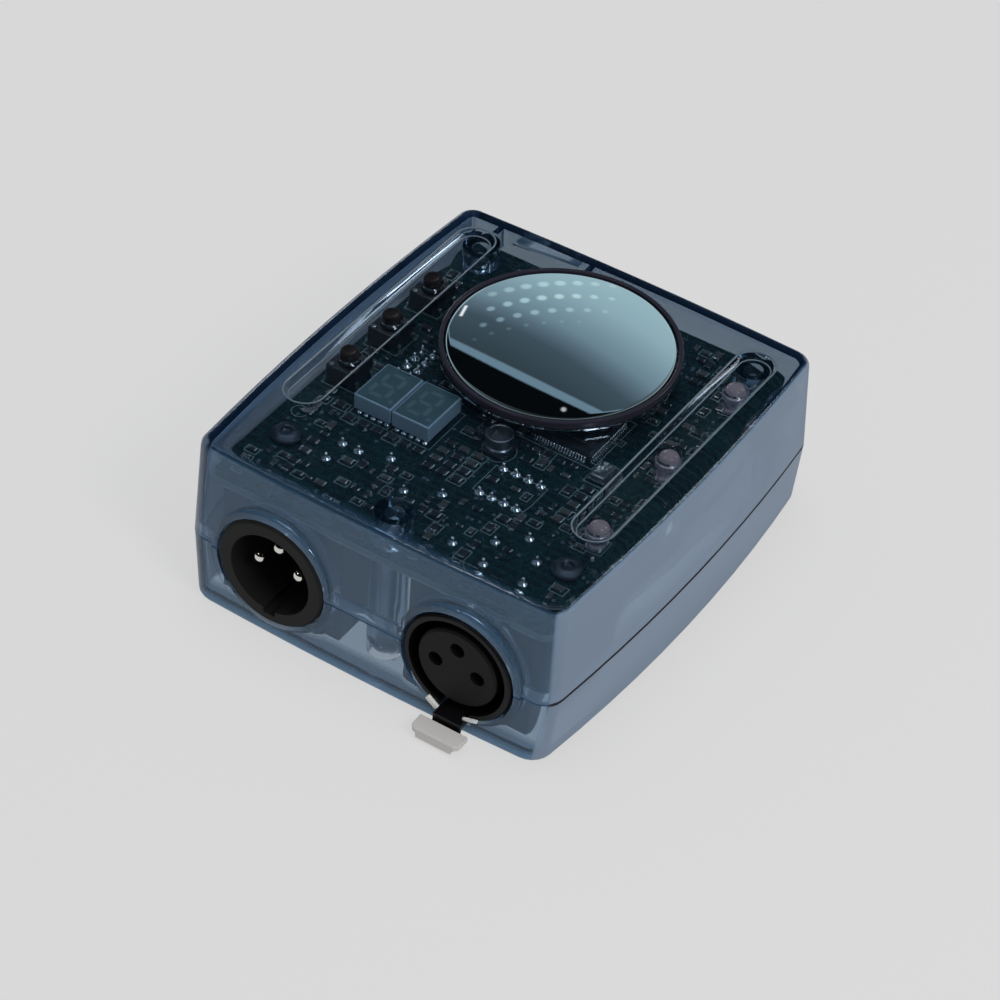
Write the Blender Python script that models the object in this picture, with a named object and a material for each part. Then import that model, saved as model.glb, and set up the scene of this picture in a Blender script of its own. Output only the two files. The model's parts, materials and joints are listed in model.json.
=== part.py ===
"""Wireless DMX controller, modelled in metres with +Z up.

A hand-sized box in two see-through shells. The front face, towards -Y, carries a male and a
female three-pin connector on the line where the shells part. The top carries a domed cap in a
raised ring, a pocket with three push buttons and a pocket with three status lights. A circuit
board hangs close under the top. The origin lies on the table, under the middle of the base.
"""

import math

import bmesh
import bpy
from mathutils import Matrix, Vector

MM = 0.001

# Clearances
SEAT_GAP = 0.3 * MM            # between a piece and what it rests on or passes through
BORE_GAP = 0.35 * MM           # round a connector in the hole of the case
BOARD_GAP = 0.5 * MM           # between the circuit board's edge and the case wall
PIN_GAP = 0.3 * MM             # round the latch's pivot pin

# Allowances for shapes that are joined on or cut away
OVERLAP = 0.5 * MM             # how far a joined-on shape sinks into its host
CLEAR = 1.0 * MM               # how far a cutter passes a surface

# Case: plan sizes at the three levels, each to the corners; the bulges come on top of them
BASE_DEPTH = 13.7 * MM
LID_HEIGHT = 20.15 * MM
BOTTOM_WIDTH = 72.2 * MM
BOTTOM_LENGTH = 88.0 * MM
PARTING_WIDTH = 74.8 * MM
PARTING_LENGTH = 86.8 * MM
TOP_WIDTH = 73.8 * MM
TOP_LENGTH = 83.8 * MM
BOTTOM_SIDE_BULGE = 2.7 * MM
PARTING_SIDE_BULGE = 2.2 * MM
TOP_SIDE_BULGE = 1.4 * MM
END_BULGE = 0.75 * MM
BOTTOM_CORNER_RADIUS = 4.2 * MM
TOP_CORNER_RADIUS = 3.2 * MM
INNER_CORNER_RADIUS = 0.4 * MM   # at least, where the wall takes up the outer radius
TOP_EDGE_RADIUS = 1.8 * MM
BASE_EDGE_RADIUS = 0.8 * MM
WALL = 2.0 * MM
TOP_THICKNESS = 2.4 * MM
FLOOR_THICKNESS = 2.0 * MM
PARTING_GAP = 0.3 * MM
LIP_HEIGHT = 1.8 * MM
LIP_THICKNESS = 0.7 * MM

# Screw bosses and case screws
BOSS_DIAMETER = 7.0 * MM
FRONT_BOSS_MARGIN = 4.4 * MM   # of its axis from the circuit board's front edge
REAR_BOSS_MARGIN = 5.6 * MM    # from the board's rear edge and from its side
SCREW_DIAMETER = 3.0 * MM
SCREW_LENGTH = 25.0 * MM
SCREW_HEAD_DIAMETER = 5.4 * MM
SCREW_HEAD_HEIGHT = 2.0 * MM
COUNTERBORE_DEPTH = 4.4 * MM
COUNTERBORE_DIAMETER = 6.2 * MM
SCREW_SOCKET_DIAMETER = 2.4 * MM
SCREW_SOCKET_DEPTH = 1.2 * MM
SCREW_TIP_DIAMETER = 1.2 * MM
PILOT_FLOOR = 1.0 * MM         # solid left between a boss's hole and the lid's ceiling

# Pockets in the top, one for the buttons and one for the lights
POCKET_X = 29.7 * MM
POCKET_FRONT_MARGIN = 18.1 * MM   # from the end of the top
POCKET_REAR_MARGIN = 5.1 * MM
POCKET_WIDTH = 7.8 * MM
POCKET_DEPTH = 1.4 * MM
POCKET_BEVEL = 0.9 * MM

# Push buttons
BUTTON_PITCH = 13.0 * MM
BUTTON_DIAMETER = 3.4 * MM
BUTTON_RISE = 1.3 * MM         # above the pocket's floor
BUTTON_TRAVEL = 0.25 * MM
BUTTON_CHAMFER = 0.3 * MM
SWITCH_WIDTH = 6.0 * MM
SWITCH_HEIGHT = 3.6 * MM
SWITCH_WELL_DEPTH = 1.2 * MM

# Status lights
LIGHT_SETBACK = 2.3 * MM       # of the middle light in front of the pocket's middle
LIGHT_END_MARGIN = 7.8 * MM    # from the outer lights' row to the ends of the pocket
LIGHT_DIAMETER = 3.8 * MM
LIGHT_FLANGE = 4.8 * MM
LIGHT_FLANGE_HEIGHT = 0.9 * MM
LIGHT_RISE = 1.0 * MM          # above the pocket's floor
LIGHT_CROWN = 1.4 * MM         # height of the rounded top

# Domed cap and its ring
DOME_DIAMETER = 41.0 * MM
DOME_REAR_MARGIN = 5.5 * MM    # from its edge to the rear end of the top
DOME_EDGE_HEIGHT = 1.3 * MM    # of the dome's edge above the lid
DOME_RISE = 3.0 * MM           # of its crown above that edge
DOME_LEDGE = 1.8 * MM          # of its edge past the spigot, resting on the lid
DOME_SPIGOT_DEPTH = 3.2 * MM
DOME_WALL = 1.6 * MM
DOME_HOLLOW_DROP = 0.8 * MM    # of the cap's underside below its edge, inside the spigot
BEZEL_WALL = 0.85 * MM
BEZEL_HEIGHT = 1.45 * MM
BEZEL_SEAT_DEPTH = 0.6 * MM
BEZEL_CHAMFER = 0.25 * MM

# Circuit board
BOARD_RISE = 11.4 * MM         # of its underside above the parting plane
BOARD_THICKNESS = 1.6 * MM
BOARD_CORNER_CUT = 1.4 * MM

# Three-pin connectors
CONNECTOR_X = 19.3 * MM
CONNECTOR_PROUD = 0.4 * MM     # of the case's front face
BARREL_DIAMETER = 22.0 * MM
BARREL_CHAMFER = 0.5 * MM
HOUSING_WIDTH = 24.6 * MM
HOUSING_DROP = 11.4 * MM       # below the connector's axis
HOUSING_DEPTH = 20.0 * MM
HOUSING_SETBACK = 4.7 * MM     # behind the barrel's face
COLLAR_WALL = 1.2 * MM
COLLAR_PROUD = 0.25 * MM
COLLAR_LIFT = 0.05 * MM        # of its ends from the edge of the shell
PIN_OFFSET = 4.2 * MM
PIN_DIAMETER = 2.4 * MM
PIN_SETBACK = 2.0 * MM
PIN_TIP_DIAMETER = 0.8 * MM
PIN_TIP_LENGTH = 0.8 * MM
MALE_BORE_DIAMETER = 16.4 * MM
MALE_BORE_DEPTH = 15.3 * MM
MALE_BASE_THICKNESS = 2.5 * MM
KEYWAY_WIDTH = 2.4 * MM
KEYWAY_DEPTH = 1.0 * MM
FEMALE_BORE_DIAMETER = 19.4 * MM
FEMALE_BORE_DEPTH = 14.4 * MM
INSERT_DIAMETER = 15.8 * MM
INSERT_CHAMFER = 0.4 * MM
CONTACT_BORE_DIAMETER = 2.9 * MM
CONTACT_BORE_DEPTH = 11.0 * MM
CONTACT_WALL = 0.3 * MM
CONTACT_SETBACK = 1.6 * MM

# Latch of the female connector; drops are from the connector's axis
LATCH_TRAVEL = math.radians(6.5)
PIVOT_SETBACK = 7.0 * MM
PIVOT_DROP = 10.3 * MM
PIVOT_PIN_DIAMETER = 0.8 * MM
PIVOT_PIN_LENGTH = 12.6 * MM
ARM_WIDTH = 5.6 * MM
ARM_DROP = 10.2 * MM
ARM_THICKNESS = 1.0 * MM
ARM_EYE_RADIUS = 1.05 * MM
NECK_REACH = 1.4 * MM          # of the neck in front of the barrel's face
NECK_THICKNESS = 0.7 * MM
TAIL_LENGTH = 5.0 * MM         # behind the pivot
TAIL_DROP = 9.5 * MM
TAIL_THICKNESS = 1.2 * MM
HOOK_RISE = 0.6 * MM
HOOK_LENGTH = 0.8 * MM
HOOK_RAMP = 1.0 * MM
TAB_WIDTH = 9.6 * MM
TAB_REACH = 6.2 * MM           # in front of the barrel's face
TAB_DEPTH = 3.5 * MM
TAB_THICKNESS = 1.1 * MM
TAB_DROP = 11.2 * MM
TAB_CORNER_RADIUS = 1.2 * MM
TONGUE_THICKNESS = 0.7 * MM
SPRING_WIRE = 0.4 * MM
SPRING_COIL_RADIUS = 0.85 * MM
SPRING_TURNS = 3
SPRING_PITCH = 0.5 * MM
SPRING_LEG = 1.2 * MM          # in front of the pin

# Power inlet on the rear wall
INLET_X = -18.8 * MM
INLET_WIDTH = 9.0 * MM
INLET_DEPTH = 12.5 * MM
INLET_HEIGHT = 10.4 * MM
INLET_AXIS_DROP = 6.2 * MM     # below the circuit board
INLET_NOSE_DIAMETER = 8.0 * MM
INLET_BORE_DIAMETER = 6.4 * MM
INLET_BORE_DEPTH = 9.5 * MM
INLET_CHAMFER = 0.2 * MM
INLET_PIN_DIAMETER = 2.0 * MM
INLET_PIN_SETBACK = 0.8 * MM
INLET_PIN_TIP = 0.4 * MM
INLET_RIB_OFFSET = 9.8 * MM
INLET_RIB_THICKNESS = 1.2 * MM
INLET_RIB_DEPTH = 2.2 * MM

# Parts on top of the circuit board
DISPLAY_X = -15.6 * MM
DISPLAY_Y = -8.9 * MM
DIGIT_WIDTH = 7.7 * MM
DIGIT_LENGTH = 10.4 * MM
DIGIT_HEIGHT = 3.2 * MM
DISPLAY_STANDOFF = 0.9 * MM
DIGIT_BEVEL = 0.25 * MM
LEG_PITCH = 1.45 * MM
LEG_WIDTH = 0.5 * MM
LEG_INSET = 0.6 * MM
LEG_COUNT = 5
PACKAGE_DRAFT = 0.15 * MM      # taper of a moulded package, above and below its middle
PACKAGE_BELT = 0.2 * MM        # upright band round its middle
CHIP_WIDTH = 12.0 * MM
CHIP_HEIGHT = 1.4 * MM
CHIP_X = 10.7 * MM
CHIP_Y = 5.4 * MM
CAPACITOR_X = 2.6 * MM
CAPACITOR_Y = -7.4 * MM
CAPACITOR_DIAMETER = 5.0 * MM
CAPACITOR_HEIGHT = 3.6 * MM
CAN_GROOVE_DEPTH = 0.2 * MM
CAN_GROOVE_HEIGHT = 0.5 * MM
CAN_GROOVE_START = 0.7 * MM    # from the board's end of the can
CAN_CHAMFER = 0.2 * MM
CRYSTAL_X = 20.6 * MM
CRYSTAL_Y = -2.2 * MM
CRYSTAL_WIDTH = 3.2 * MM
CRYSTAL_LENGTH = 5.0 * MM
CRYSTAL_HEIGHT = 1.1 * MM
RADIO_X = -8.6 * MM
RADIO_Y = 15.9 * MM
RADIO_WIDTH = 15.0 * MM
RADIO_LENGTH = 24.0 * MM
RADIO_THICKNESS = 0.8 * MM
SHIELD_MARGIN = 1.1 * MM
SHIELD_LENGTH = 16.0 * MM
SHIELD_HEIGHT = 2.0 * MM
ANTENNA_LENGTH = 7.0 * MM
ANTENNA_WIDTH = 2.0 * MM
ANTENNA_HEIGHT = 1.2 * MM
JOINT_DIAMETER = 1.7 * MM
JOINT_TIP_DIAMETER = 0.6 * MM
JOINT_HEIGHT = 1.3 * MM
LEAD_PITCH = 2.54 * MM
MALE_LEADS_Y = -22.1 * MM
MALE_LEAD_GAP = 3.4 * MM
MALE_THIRD_LEAD_GAP = 4.9 * MM
FEMALE_LEADS_Y = -27.5 * MM
HEADER_X = -23.2 * MM
HEADER_Y = -0.6 * MM
RESISTOR_LENGTH = 2.0 * MM
RESISTOR_WIDTH = 1.25 * MM
RESISTOR_HEIGHT = 0.55 * MM
RESISTOR_PITCH = 2.9 * MM      # end to end
RESISTOR_STEP = 2.4 * MM       # side by side
DISPLAY_ROW_GAP = 1.4 * MM     # from the display to the row in front of it
DRIVER_ROWS_GAP = 3.0 * MM     # from the driver to the rows beside it
FIXING_SCREW_OFFSET = 9.6 * MM # from a connector's axis, towards the side of the case
FIXING_SCREW_SETBACK = 17.9 * MM
FIXING_SCREW_DIAMETER = 2.2 * MM
FIXING_SCREW_LENGTH = 7.0 * MM
FIXING_HEAD_DIAMETER = 5.6 * MM
FIXING_HEAD_HEIGHT = 1.3 * MM
FIXING_SOCKET_DIAMETER = 2.0 * MM
FIXING_SOCKET_DEPTH = 0.8 * MM
FIXING_TIP_DIAMETER = 0.8 * MM

# Parts below the circuit board
DRIVER_X = 9.6 * MM
DRIVER_Y = -14.7 * MM
DRIVER_WIDTH = 9.4 * MM
DRIVER_LENGTH = 6.4 * MM
DRIVER_HEIGHT = 3.3 * MM
DRIVER_ROW_GAP = 7.62 * MM     # between its two rows of leads
RESERVOIR_X = -2.0 * MM
RESERVOIR_Y = 26.0 * MM
RESERVOIR_DIAMETER = 8.0 * MM
RESERVOIR_HEIGHT = 10.6 * MM
REGULATOR_X = 9.0 * MM
REGULATOR_Y = 29.0 * MM
REGULATOR_WIDTH = 6.5 * MM
REGULATOR_LENGTH = 9.0 * MM
REGULATOR_HEIGHT = 2.3 * MM

# Segments round a full circle
FINE = 40
MEDIUM = 20
COARSE = 12
ROUGH = 8

# Levels and places that follow from the sizes above
PARTING_Z = BASE_DEPTH
LID_TOP_Z = BASE_DEPTH + LID_HEIGHT
CEILING_Z = LID_TOP_Z - TOP_THICKNESS
POCKET_FLOOR_Z = LID_TOP_Z - POCKET_DEPTH
BOARD_BOTTOM_Z = PARTING_Z + BOARD_RISE
BOARD_TOP_Z = BOARD_BOTTOM_Z + BOARD_THICKNESS
CONNECTOR_Z = PARTING_Z
FRONTWARD = Matrix.Rotation(math.pi / 2, 4, "X")
REARWARD = Matrix.Rotation(-math.pi / 2, 4, "X")
SIDEWARD = Matrix.Rotation(math.pi / 2, 4, "Y")
DOME_SPIGOT_RADIUS = DOME_DIAMETER / 2 - DOME_LEDGE
POCKET_Y = (POCKET_FRONT_MARGIN - POCKET_REAR_MARGIN) / 2
POCKET_LENGTH = TOP_LENGTH - POCKET_FRONT_MARGIN - POCKET_REAR_MARGIN
LIGHT_Y = POCKET_Y - LIGHT_SETBACK
LIGHT_PITCH = POCKET_LENGTH / 2 - LIGHT_END_MARGIN
DOME_Y = TOP_LENGTH / 2 - DOME_REAR_MARGIN - DOME_DIAMETER / 2
BUTTON_PLACES = tuple((-POCKET_X, POCKET_Y + step * BUTTON_PITCH) for step in (-1, 0, 1))
LIGHT_PLACES = tuple((POCKET_X, LIGHT_Y + step * LIGHT_PITCH) for step in (-1, 0, 1))
PIN_PLACES = ((-PIN_OFFSET, 0.0), (0.0, PIN_OFFSET), (PIN_OFFSET, 0.0))


# Plan outline of the case

def level_sizes(z):
    """Half width, side bulge and half length of the outside at height z."""
    if z >= PARTING_Z:
        share = (z - PARTING_Z) / LID_HEIGHT
        ends = ((PARTING_WIDTH, TOP_WIDTH), (PARTING_SIDE_BULGE, TOP_SIDE_BULGE),
                (PARTING_LENGTH, TOP_LENGTH))
    else:
        share = (PARTING_Z - z) / BASE_DEPTH
        ends = ((PARTING_WIDTH, BOTTOM_WIDTH), (PARTING_SIDE_BULGE, BOTTOM_SIDE_BULGE),
                (PARTING_LENGTH, BOTTOM_LENGTH))
    width, bulge, length = (start + share * (end - start) for start, end in ends)
    return width / 2, bulge, length / 2


def quarter_outline(half_width, side_bulge, half_length, end_bulge, radius):
    """Outline from the middle of the +X side to the middle of the +Y end.

    Each side is a shallow parabola. A round corner touches both, with its centre at one
    radius from each parabola's tangent at the corner.
    """
    side_tilt = math.atan(2 * side_bulge / half_length)
    end_tilt = math.atan(2 * end_bulge / half_width)
    side_normal = Vector((math.cos(side_tilt), math.sin(side_tilt)))
    end_normal = Vector((math.sin(end_tilt), math.cos(end_tilt)))
    spread = side_normal.x * end_normal.y - side_normal.y * end_normal.x
    apex = Vector((end_normal.y - side_normal.y, side_normal.x - end_normal.x)) / spread
    centre = Vector((half_width, half_length)) - radius * apex
    side_end = centre + radius * side_normal
    end_start = centre + radius * end_normal
    side_steps, corner_steps, end_steps = 5, 5, 4
    points = []
    for step in range(side_steps):
        y = side_end.y * step / side_steps
        bow = math.tan(side_tilt) * (side_end.y ** 2 - y ** 2) / (2 * side_end.y)
        points.append((side_end.x + bow, y))
    for step in range(corner_steps + 1):
        angle = side_tilt + (math.pi / 2 - end_tilt - side_tilt) * step / corner_steps
        points.append((centre.x + radius * math.cos(angle), centre.y + radius * math.sin(angle)))
    for step in range(1, end_steps + 1):
        x = end_start.x * (1 - step / end_steps)
        bow = math.tan(end_tilt) * (end_start.x ** 2 - x ** 2) / (2 * end_start.x)
        points.append((x, end_start.y + bow))
    return points


def case_ring(z, inset=0.0):
    """Points of the case's outline at height z, drawn in by inset, anticlockwise."""
    half_width, side_bulge, half_length = level_sizes(z)
    rise = z / LID_TOP_Z
    radius = BOTTOM_CORNER_RADIUS + rise * (TOP_CORNER_RADIUS - BOTTOM_CORNER_RADIUS)
    radius = max(radius - inset, INNER_CORNER_RADIUS)
    quarter = quarter_outline(half_width - inset, side_bulge, half_length - inset,
                              END_BULGE, radius)
    left = [(-x, y) for x, y in reversed(quarter[:-1])]
    upper = quarter + left
    lower = [(-x, -y) for x, y in upper[1:-1]]
    return [(x, y, z) for x, y in upper + lower]


def end_wall_y(x, z, inset=0.0):
    """Distance of the end walls from the middle at x and z, inside the corners."""
    half_width, _, half_length = level_sizes(z)
    return half_length - inset + END_BULGE * (1 - (x / half_width) ** 2)


def board_half_sizes():
    """Half width and half length of the circuit board, a gap inside the straight of the walls."""
    half_width, _, half_length = level_sizes(BOARD_TOP_Z)
    return half_width - WALL - BOARD_GAP, half_length - WALL - BOARD_GAP


def boss_places():
    """Axes of the three bosses that hold the shells and the board together."""
    half_width, half_length = board_half_sizes()
    rear_x = half_width - REAR_BOSS_MARGIN
    rear_y = half_length - REAR_BOSS_MARGIN
    return ((0.0, FRONT_BOSS_MARGIN - half_length), (-rear_x, rear_y), (rear_x, rear_y))


BOSS_PLACES = boss_places()
CONNECTOR_FACE_Y = -(end_wall_y(CONNECTOR_X, PARTING_Z) + CONNECTOR_PROUD)
COLLAR_BACK_Y = CONNECTOR_FACE_Y + HOUSING_SETBACK - SEAT_GAP
FRONT_Y = CONNECTOR_FACE_Y - max(0.0, TOP_LENGTH - PARTING_LENGTH) / 2


# Mesh building

def add_loft(bm, rings):
    """One closed body through rings of equal count; the first and the last are filled in."""
    loops = [[bm.verts.new(point) for point in ring] for ring in rings]
    count = len(loops[0])
    for near, far in zip(loops, loops[1:]):
        for i in range(count):
            j = (i + 1) % count
            bm.faces.new((near[i], near[j], far[j], far[i]))
    bm.faces.new(loops[0][::-1])
    bm.faces.new(loops[-1])


def circle(radius, height, segments, centre=(0.0, 0.0)):
    """Points of a level circle about an upright axis."""
    angles = [2 * math.pi * step / segments for step in range(segments)]
    return [(centre[0] + radius * math.cos(angle), centre[1] + radius * math.sin(angle), height)
            for angle in angles]


def add_turned(bm, profile, segments, centre=(0.0, 0.0)):
    """Closed body turned about an upright axis from (radius, height) pairs."""
    add_loft(bm, [circle(radius, height, segments, centre) for radius, height in profile])


def add_hollow_turned(bm, profile, segments, centre=(0.0, 0.0)):
    """Closed ring turned about an upright axis from a closed loop of (radius, height) pairs."""
    loops = [[bm.verts.new(point) for point in circle(radius, height, segments, centre)]
             for radius, height in profile]
    for k, near in enumerate(loops):
        far = loops[(k + 1) % len(loops)]
        for i in range(segments):
            j = (i + 1) % segments
            bm.faces.new((near[i], near[j], far[j], far[i]))


def add_box(bm, low, high):
    """Closed box between two opposite corners."""
    (x0, y0, z0), (x1, y1, z1) = low, high
    add_loft(bm, [[(x0, y0, z), (x1, y0, z), (x1, y1, z), (x0, y1, z)] for z in (z0, z1)])


def add_block(bm, centre, size):
    """Closed box standing on the level of centre, with its size in X, Y and Z."""
    x, y, z = centre
    width, length, height = size
    add_box(bm, (x - width / 2, y - length / 2, z), (x + width / 2, y + length / 2, z + height))


def add_prism(bm, outline, half_width):
    """Body with a side outline of (y, z) pairs, spread to both sides along X."""
    add_loft(bm, [[(x, y, z) for y, z in outline] for x in (-half_width, half_width)])


def mesh_from(bm, name):
    """Mesh with all faces turned outwards, smooth where its faces meet at under 35 degrees."""
    bmesh.ops.recalc_face_normals(bm, faces=bm.faces)
    mesh = bpy.data.meshes.new(name)
    bm.to_mesh(mesh)
    bm.free()
    mesh.shade_smooth()
    mesh.set_sharp_from_angle(angle=math.radians(35))
    return mesh


def place(name, data, location=(0, 0, 0), turn=None):
    """Object of that name and data at a location, turned by a matrix."""
    thing = bpy.data.objects.new(name, data)
    bpy.context.scene.collection.objects.link(thing)
    thing.matrix_world = Matrix.Translation(location) @ (turn or Matrix.Identity(4))
    return thing


def piece(name, bm, finish, location=(0, 0, 0), turn=None):
    """Finished sub-part with its material."""
    mesh = mesh_from(bm, name)
    mesh.materials.append(finish)
    return place(name, mesh, location, turn)


def helper(name, bm, location=(0, 0, 0), turn=None):
    """Shape that only cuts or adds to another one."""
    guide = place(name, mesh_from(bm, name), location, turn)
    guide.hide_render = True
    guide.display_type = "WIRE"
    return guide


def shape_by(target, guide, operation):
    """Cut the guide's shape out of the target, or join it on."""
    step = target.modifiers.new(guide.name, "BOOLEAN")
    step.operation = operation
    step.solver = "EXACT"
    step.object = guide


def finish_of(name, colour, roughness, metallic=0.0, alpha=1.0):
    """Principled material with that name, made once."""
    material = bpy.data.materials.get(name)
    if material is None:
        material = bpy.data.materials.new(name)
        material.use_nodes = True
        shader = material.node_tree.nodes["Principled BSDF"]
        shader.inputs["Base Color"].default_value = (*colour, 1.0)
        shader.inputs["Roughness"].default_value = roughness
        shader.inputs["Metallic"].default_value = metallic
        shader.inputs["Alpha"].default_value = alpha
    return material


# Materials

def smoky_case():
    return finish_of("smoky_case", (0.13, 0.19, 0.27), 0.12, alpha=0.45)


def mirror_dome():
    return finish_of("mirror_dome", (0.02, 0.03, 0.035), 0.03)


def smoky_ring():
    return finish_of("smoky_ring", (0.05, 0.05, 0.07), 0.15)


def board_green():
    return finish_of("board_green", (0.006, 0.045, 0.045), 0.4)


def charcoal_plastic():
    return finish_of("charcoal_plastic", (0.03, 0.03, 0.03), 0.45)


def black_plastic():
    return finish_of("black_plastic", (0.006, 0.006, 0.007), 0.35)


def insert_plastic():
    return finish_of("insert_plastic", (0.03, 0.028, 0.03), 0.5)


def plated_contact():
    return finish_of("plated_contact", (0.75, 0.74, 0.68), 0.2, 1.0)


def bright_tab():
    return finish_of("bright_tab", (0.78, 0.75, 0.74), 0.3, 1.0)


def steel():
    return finish_of("steel", (0.55, 0.56, 0.58), 0.3, 1.0)


def display_face():
    return finish_of("display_face", (0.1, 0.2, 0.24), 0.35)


def clear_light():
    return finish_of("clear_light", (0.35, 0.4, 0.45), 0.1, alpha=0.6)


def ceramic():
    return finish_of("ceramic", (0.25, 0.24, 0.2), 0.5)


# Case

def rounded_top_rings():
    """Rings of the lid's outside, from its rim over the round edge to the flat top."""
    rings = [case_ring(PARTING_Z + PARTING_GAP / 2)]
    steps = 4
    for step in range(steps + 1):
        angle = math.pi / 2 * step / steps
        z = LID_TOP_Z - TOP_EDGE_RADIUS * (1 - math.sin(angle))
        rings.append(case_ring(z, TOP_EDGE_RADIUS * (1 - math.cos(angle))))
    return rings


def add_half_collar(bm, x, upper):
    """Half of the round rim that frames a connector, in a loft from its inner to outer edge."""
    inner = BARREL_DIAMETER / 2
    outer = inner + BORE_GAP + COLLAR_WALL
    front = CONNECTOR_FACE_Y + CONNECTOR_PROUD - COLLAR_PROUD
    back = COLLAR_BACK_Y
    lift = PARTING_GAP / 2 + COLLAR_LIFT
    start = math.asin(lift / inner)
    steps = MEDIUM
    rings = []
    for step in range(steps + 1):
        angle = start + (math.pi - 2 * start) * step / steps
        rise = math.sin(angle) if upper else -math.sin(angle)
        corners = ((inner, front), (outer, front), (outer, back), (inner, back))
        rings.append([(x + radius * math.cos(angle), y, CONNECTOR_Z + radius * rise)
                      for radius, y in corners])
    add_loft(bm, rings)


def add_connector_bores(bm):
    """Two plugs along Y that open the front wall for the connectors."""
    radius = BARREL_DIAMETER / 2 + BORE_GAP
    for x in (-CONNECTOR_X, CONNECTOR_X):
        rings = [[(x + px, y, CONNECTOR_Z + py) for px, py, _ in circle(radius, 0, FINE)]
                 for y in (FRONT_Y - CLEAR, COLLAR_BACK_Y + CLEAR)]
        add_loft(bm, rings)


def add_pocket(bm, x):
    """Round-ended pocket with sloping walls, wider at the top than at its floor."""
    straight = (POCKET_LENGTH - POCKET_WIDTH) / 2
    rise = POCKET_DEPTH + CLEAR
    slope = POCKET_BEVEL / POCKET_DEPTH
    rings = []
    for height in (0.0, rise):
        radius = POCKET_WIDTH / 2 - POCKET_BEVEL + slope * height
        ring = []
        for end in (1, -1):
            for step in range(ROUGH + 1):
                angle = math.pi * step / ROUGH
                ring.append((x + end * radius * math.cos(angle),
                             POCKET_Y + end * (straight + radius * math.sin(angle)),
                             POCKET_FLOOR_Z + height))
        rings.append(ring)
    add_loft(bm, rings)


def lid_additions():
    """Bosses, connector rims and the ribs beside the power inlet, for joining to the lid."""
    bm = bmesh.new()
    for x, y in BOSS_PLACES:
        add_turned(bm, [(BOSS_DIAMETER / 2, BOARD_TOP_Z + SEAT_GAP),
                        (BOSS_DIAMETER / 2, CEILING_Z + OVERLAP)], MEDIUM, (x, y))
    for x in (-CONNECTOR_X, CONNECTOR_X):
        add_half_collar(bm, x, upper=True)
    for side in (-1, 1):
        x = INLET_X + side * INLET_RIB_OFFSET
        wall = end_wall_y(x, CEILING_Z, inset=WALL)
        half = INLET_RIB_THICKNESS / 2
        add_box(bm, (x - half, wall - INLET_RIB_DEPTH, BOARD_TOP_Z + 2 * SEAT_GAP),
                (x + half, wall + OVERLAP, CEILING_Z + OVERLAP))
    return helper("lid_additions", bm)


def lid_large_cuts():
    """Pockets, connector bores, the dome's seat and hole, and the power inlet's hole."""
    bm = bmesh.new()
    for x in (-POCKET_X, POCKET_X):
        add_pocket(bm, x)
    add_connector_bores(bm)
    seat_inner = DOME_DIAMETER / 2
    seat_outer = DOME_DIAMETER / 2 + 2 * SEAT_GAP + BEZEL_WALL
    floor = LID_TOP_Z - BEZEL_SEAT_DEPTH
    above = LID_TOP_Z + CLEAR
    add_hollow_turned(bm, [(seat_inner, floor), (seat_outer, floor), (seat_outer, above),
                           (seat_inner, above)], FINE, (0, DOME_Y))
    hole = DOME_SPIGOT_RADIUS + SEAT_GAP
    add_turned(bm, [(hole, CEILING_Z - CLEAR), (hole, above)], FINE, (0, DOME_Y))
    wall = end_wall_y(INLET_X, PARTING_Z)
    ring = [(INLET_X + px, BOARD_BOTTOM_Z - INLET_AXIS_DROP + py)
            for px, py, _ in circle(INLET_NOSE_DIAMETER / 2 + BORE_GAP, 0, MEDIUM)]
    add_loft(bm, [[(x, y, z) for x, z in ring] for y in (wall + CLEAR, wall - 3 * WALL)])
    return helper("lid_large_cuts", bm)


def lid_small_cuts():
    """Holes for the buttons and lights through the pockets, and the bosses' screw holes."""
    bm = bmesh.new()
    for places, diameter in ((BUTTON_PLACES, BUTTON_DIAMETER), (LIGHT_PLACES, LIGHT_DIAMETER)):
        radius = diameter / 2 + SEAT_GAP
        for place_xy in places:
            add_turned(bm, [(radius, CEILING_Z - CLEAR), (radius, LID_TOP_Z + CLEAR)],
                       MEDIUM, place_xy)
    radius = SCREW_DIAMETER / 2 + SEAT_GAP
    for place_xy in BOSS_PLACES:
        add_turned(bm, [(radius, BOARD_TOP_Z - CLEAR), (radius, CEILING_Z - PILOT_FLOOR)],
                   COARSE, place_xy)
    return helper("lid_small_cuts", bm)


def make_lid():
    """Upper shell: an open-bottomed box whose wall has a step for the lower shell's lip."""
    step_inset = WALL - LIP_THICKNESS - SEAT_GAP
    step_z = PARTING_Z + LIP_HEIGHT + SEAT_GAP
    rings = [case_ring(PARTING_Z + PARTING_GAP / 2, step_inset), case_ring(step_z, step_inset),
             case_ring(step_z, WALL), case_ring(CEILING_Z, WALL)]
    bm = bmesh.new()
    add_loft(bm, rounded_top_rings()[::-1] + rings)
    lid = piece("lid_shell", bm, smoky_case())
    shape_by(lid, lid_additions(), "UNION")
    shape_by(lid, lid_large_cuts(), "DIFFERENCE")
    shape_by(lid, lid_small_cuts(), "DIFFERENCE")


def base_additions():
    """Bosses and the lower halves of the connector rims, for joining to the base."""
    bm = bmesh.new()
    for x, y in BOSS_PLACES:
        add_turned(bm, [(BOSS_DIAMETER / 2, FLOOR_THICKNESS - OVERLAP),
                        (BOSS_DIAMETER / 2, BOARD_BOTTOM_Z - SEAT_GAP)], MEDIUM, (x, y))
    for x in (-CONNECTOR_X, CONNECTOR_X):
        add_half_collar(bm, x, upper=False)
    return helper("base_additions", bm)


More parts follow.
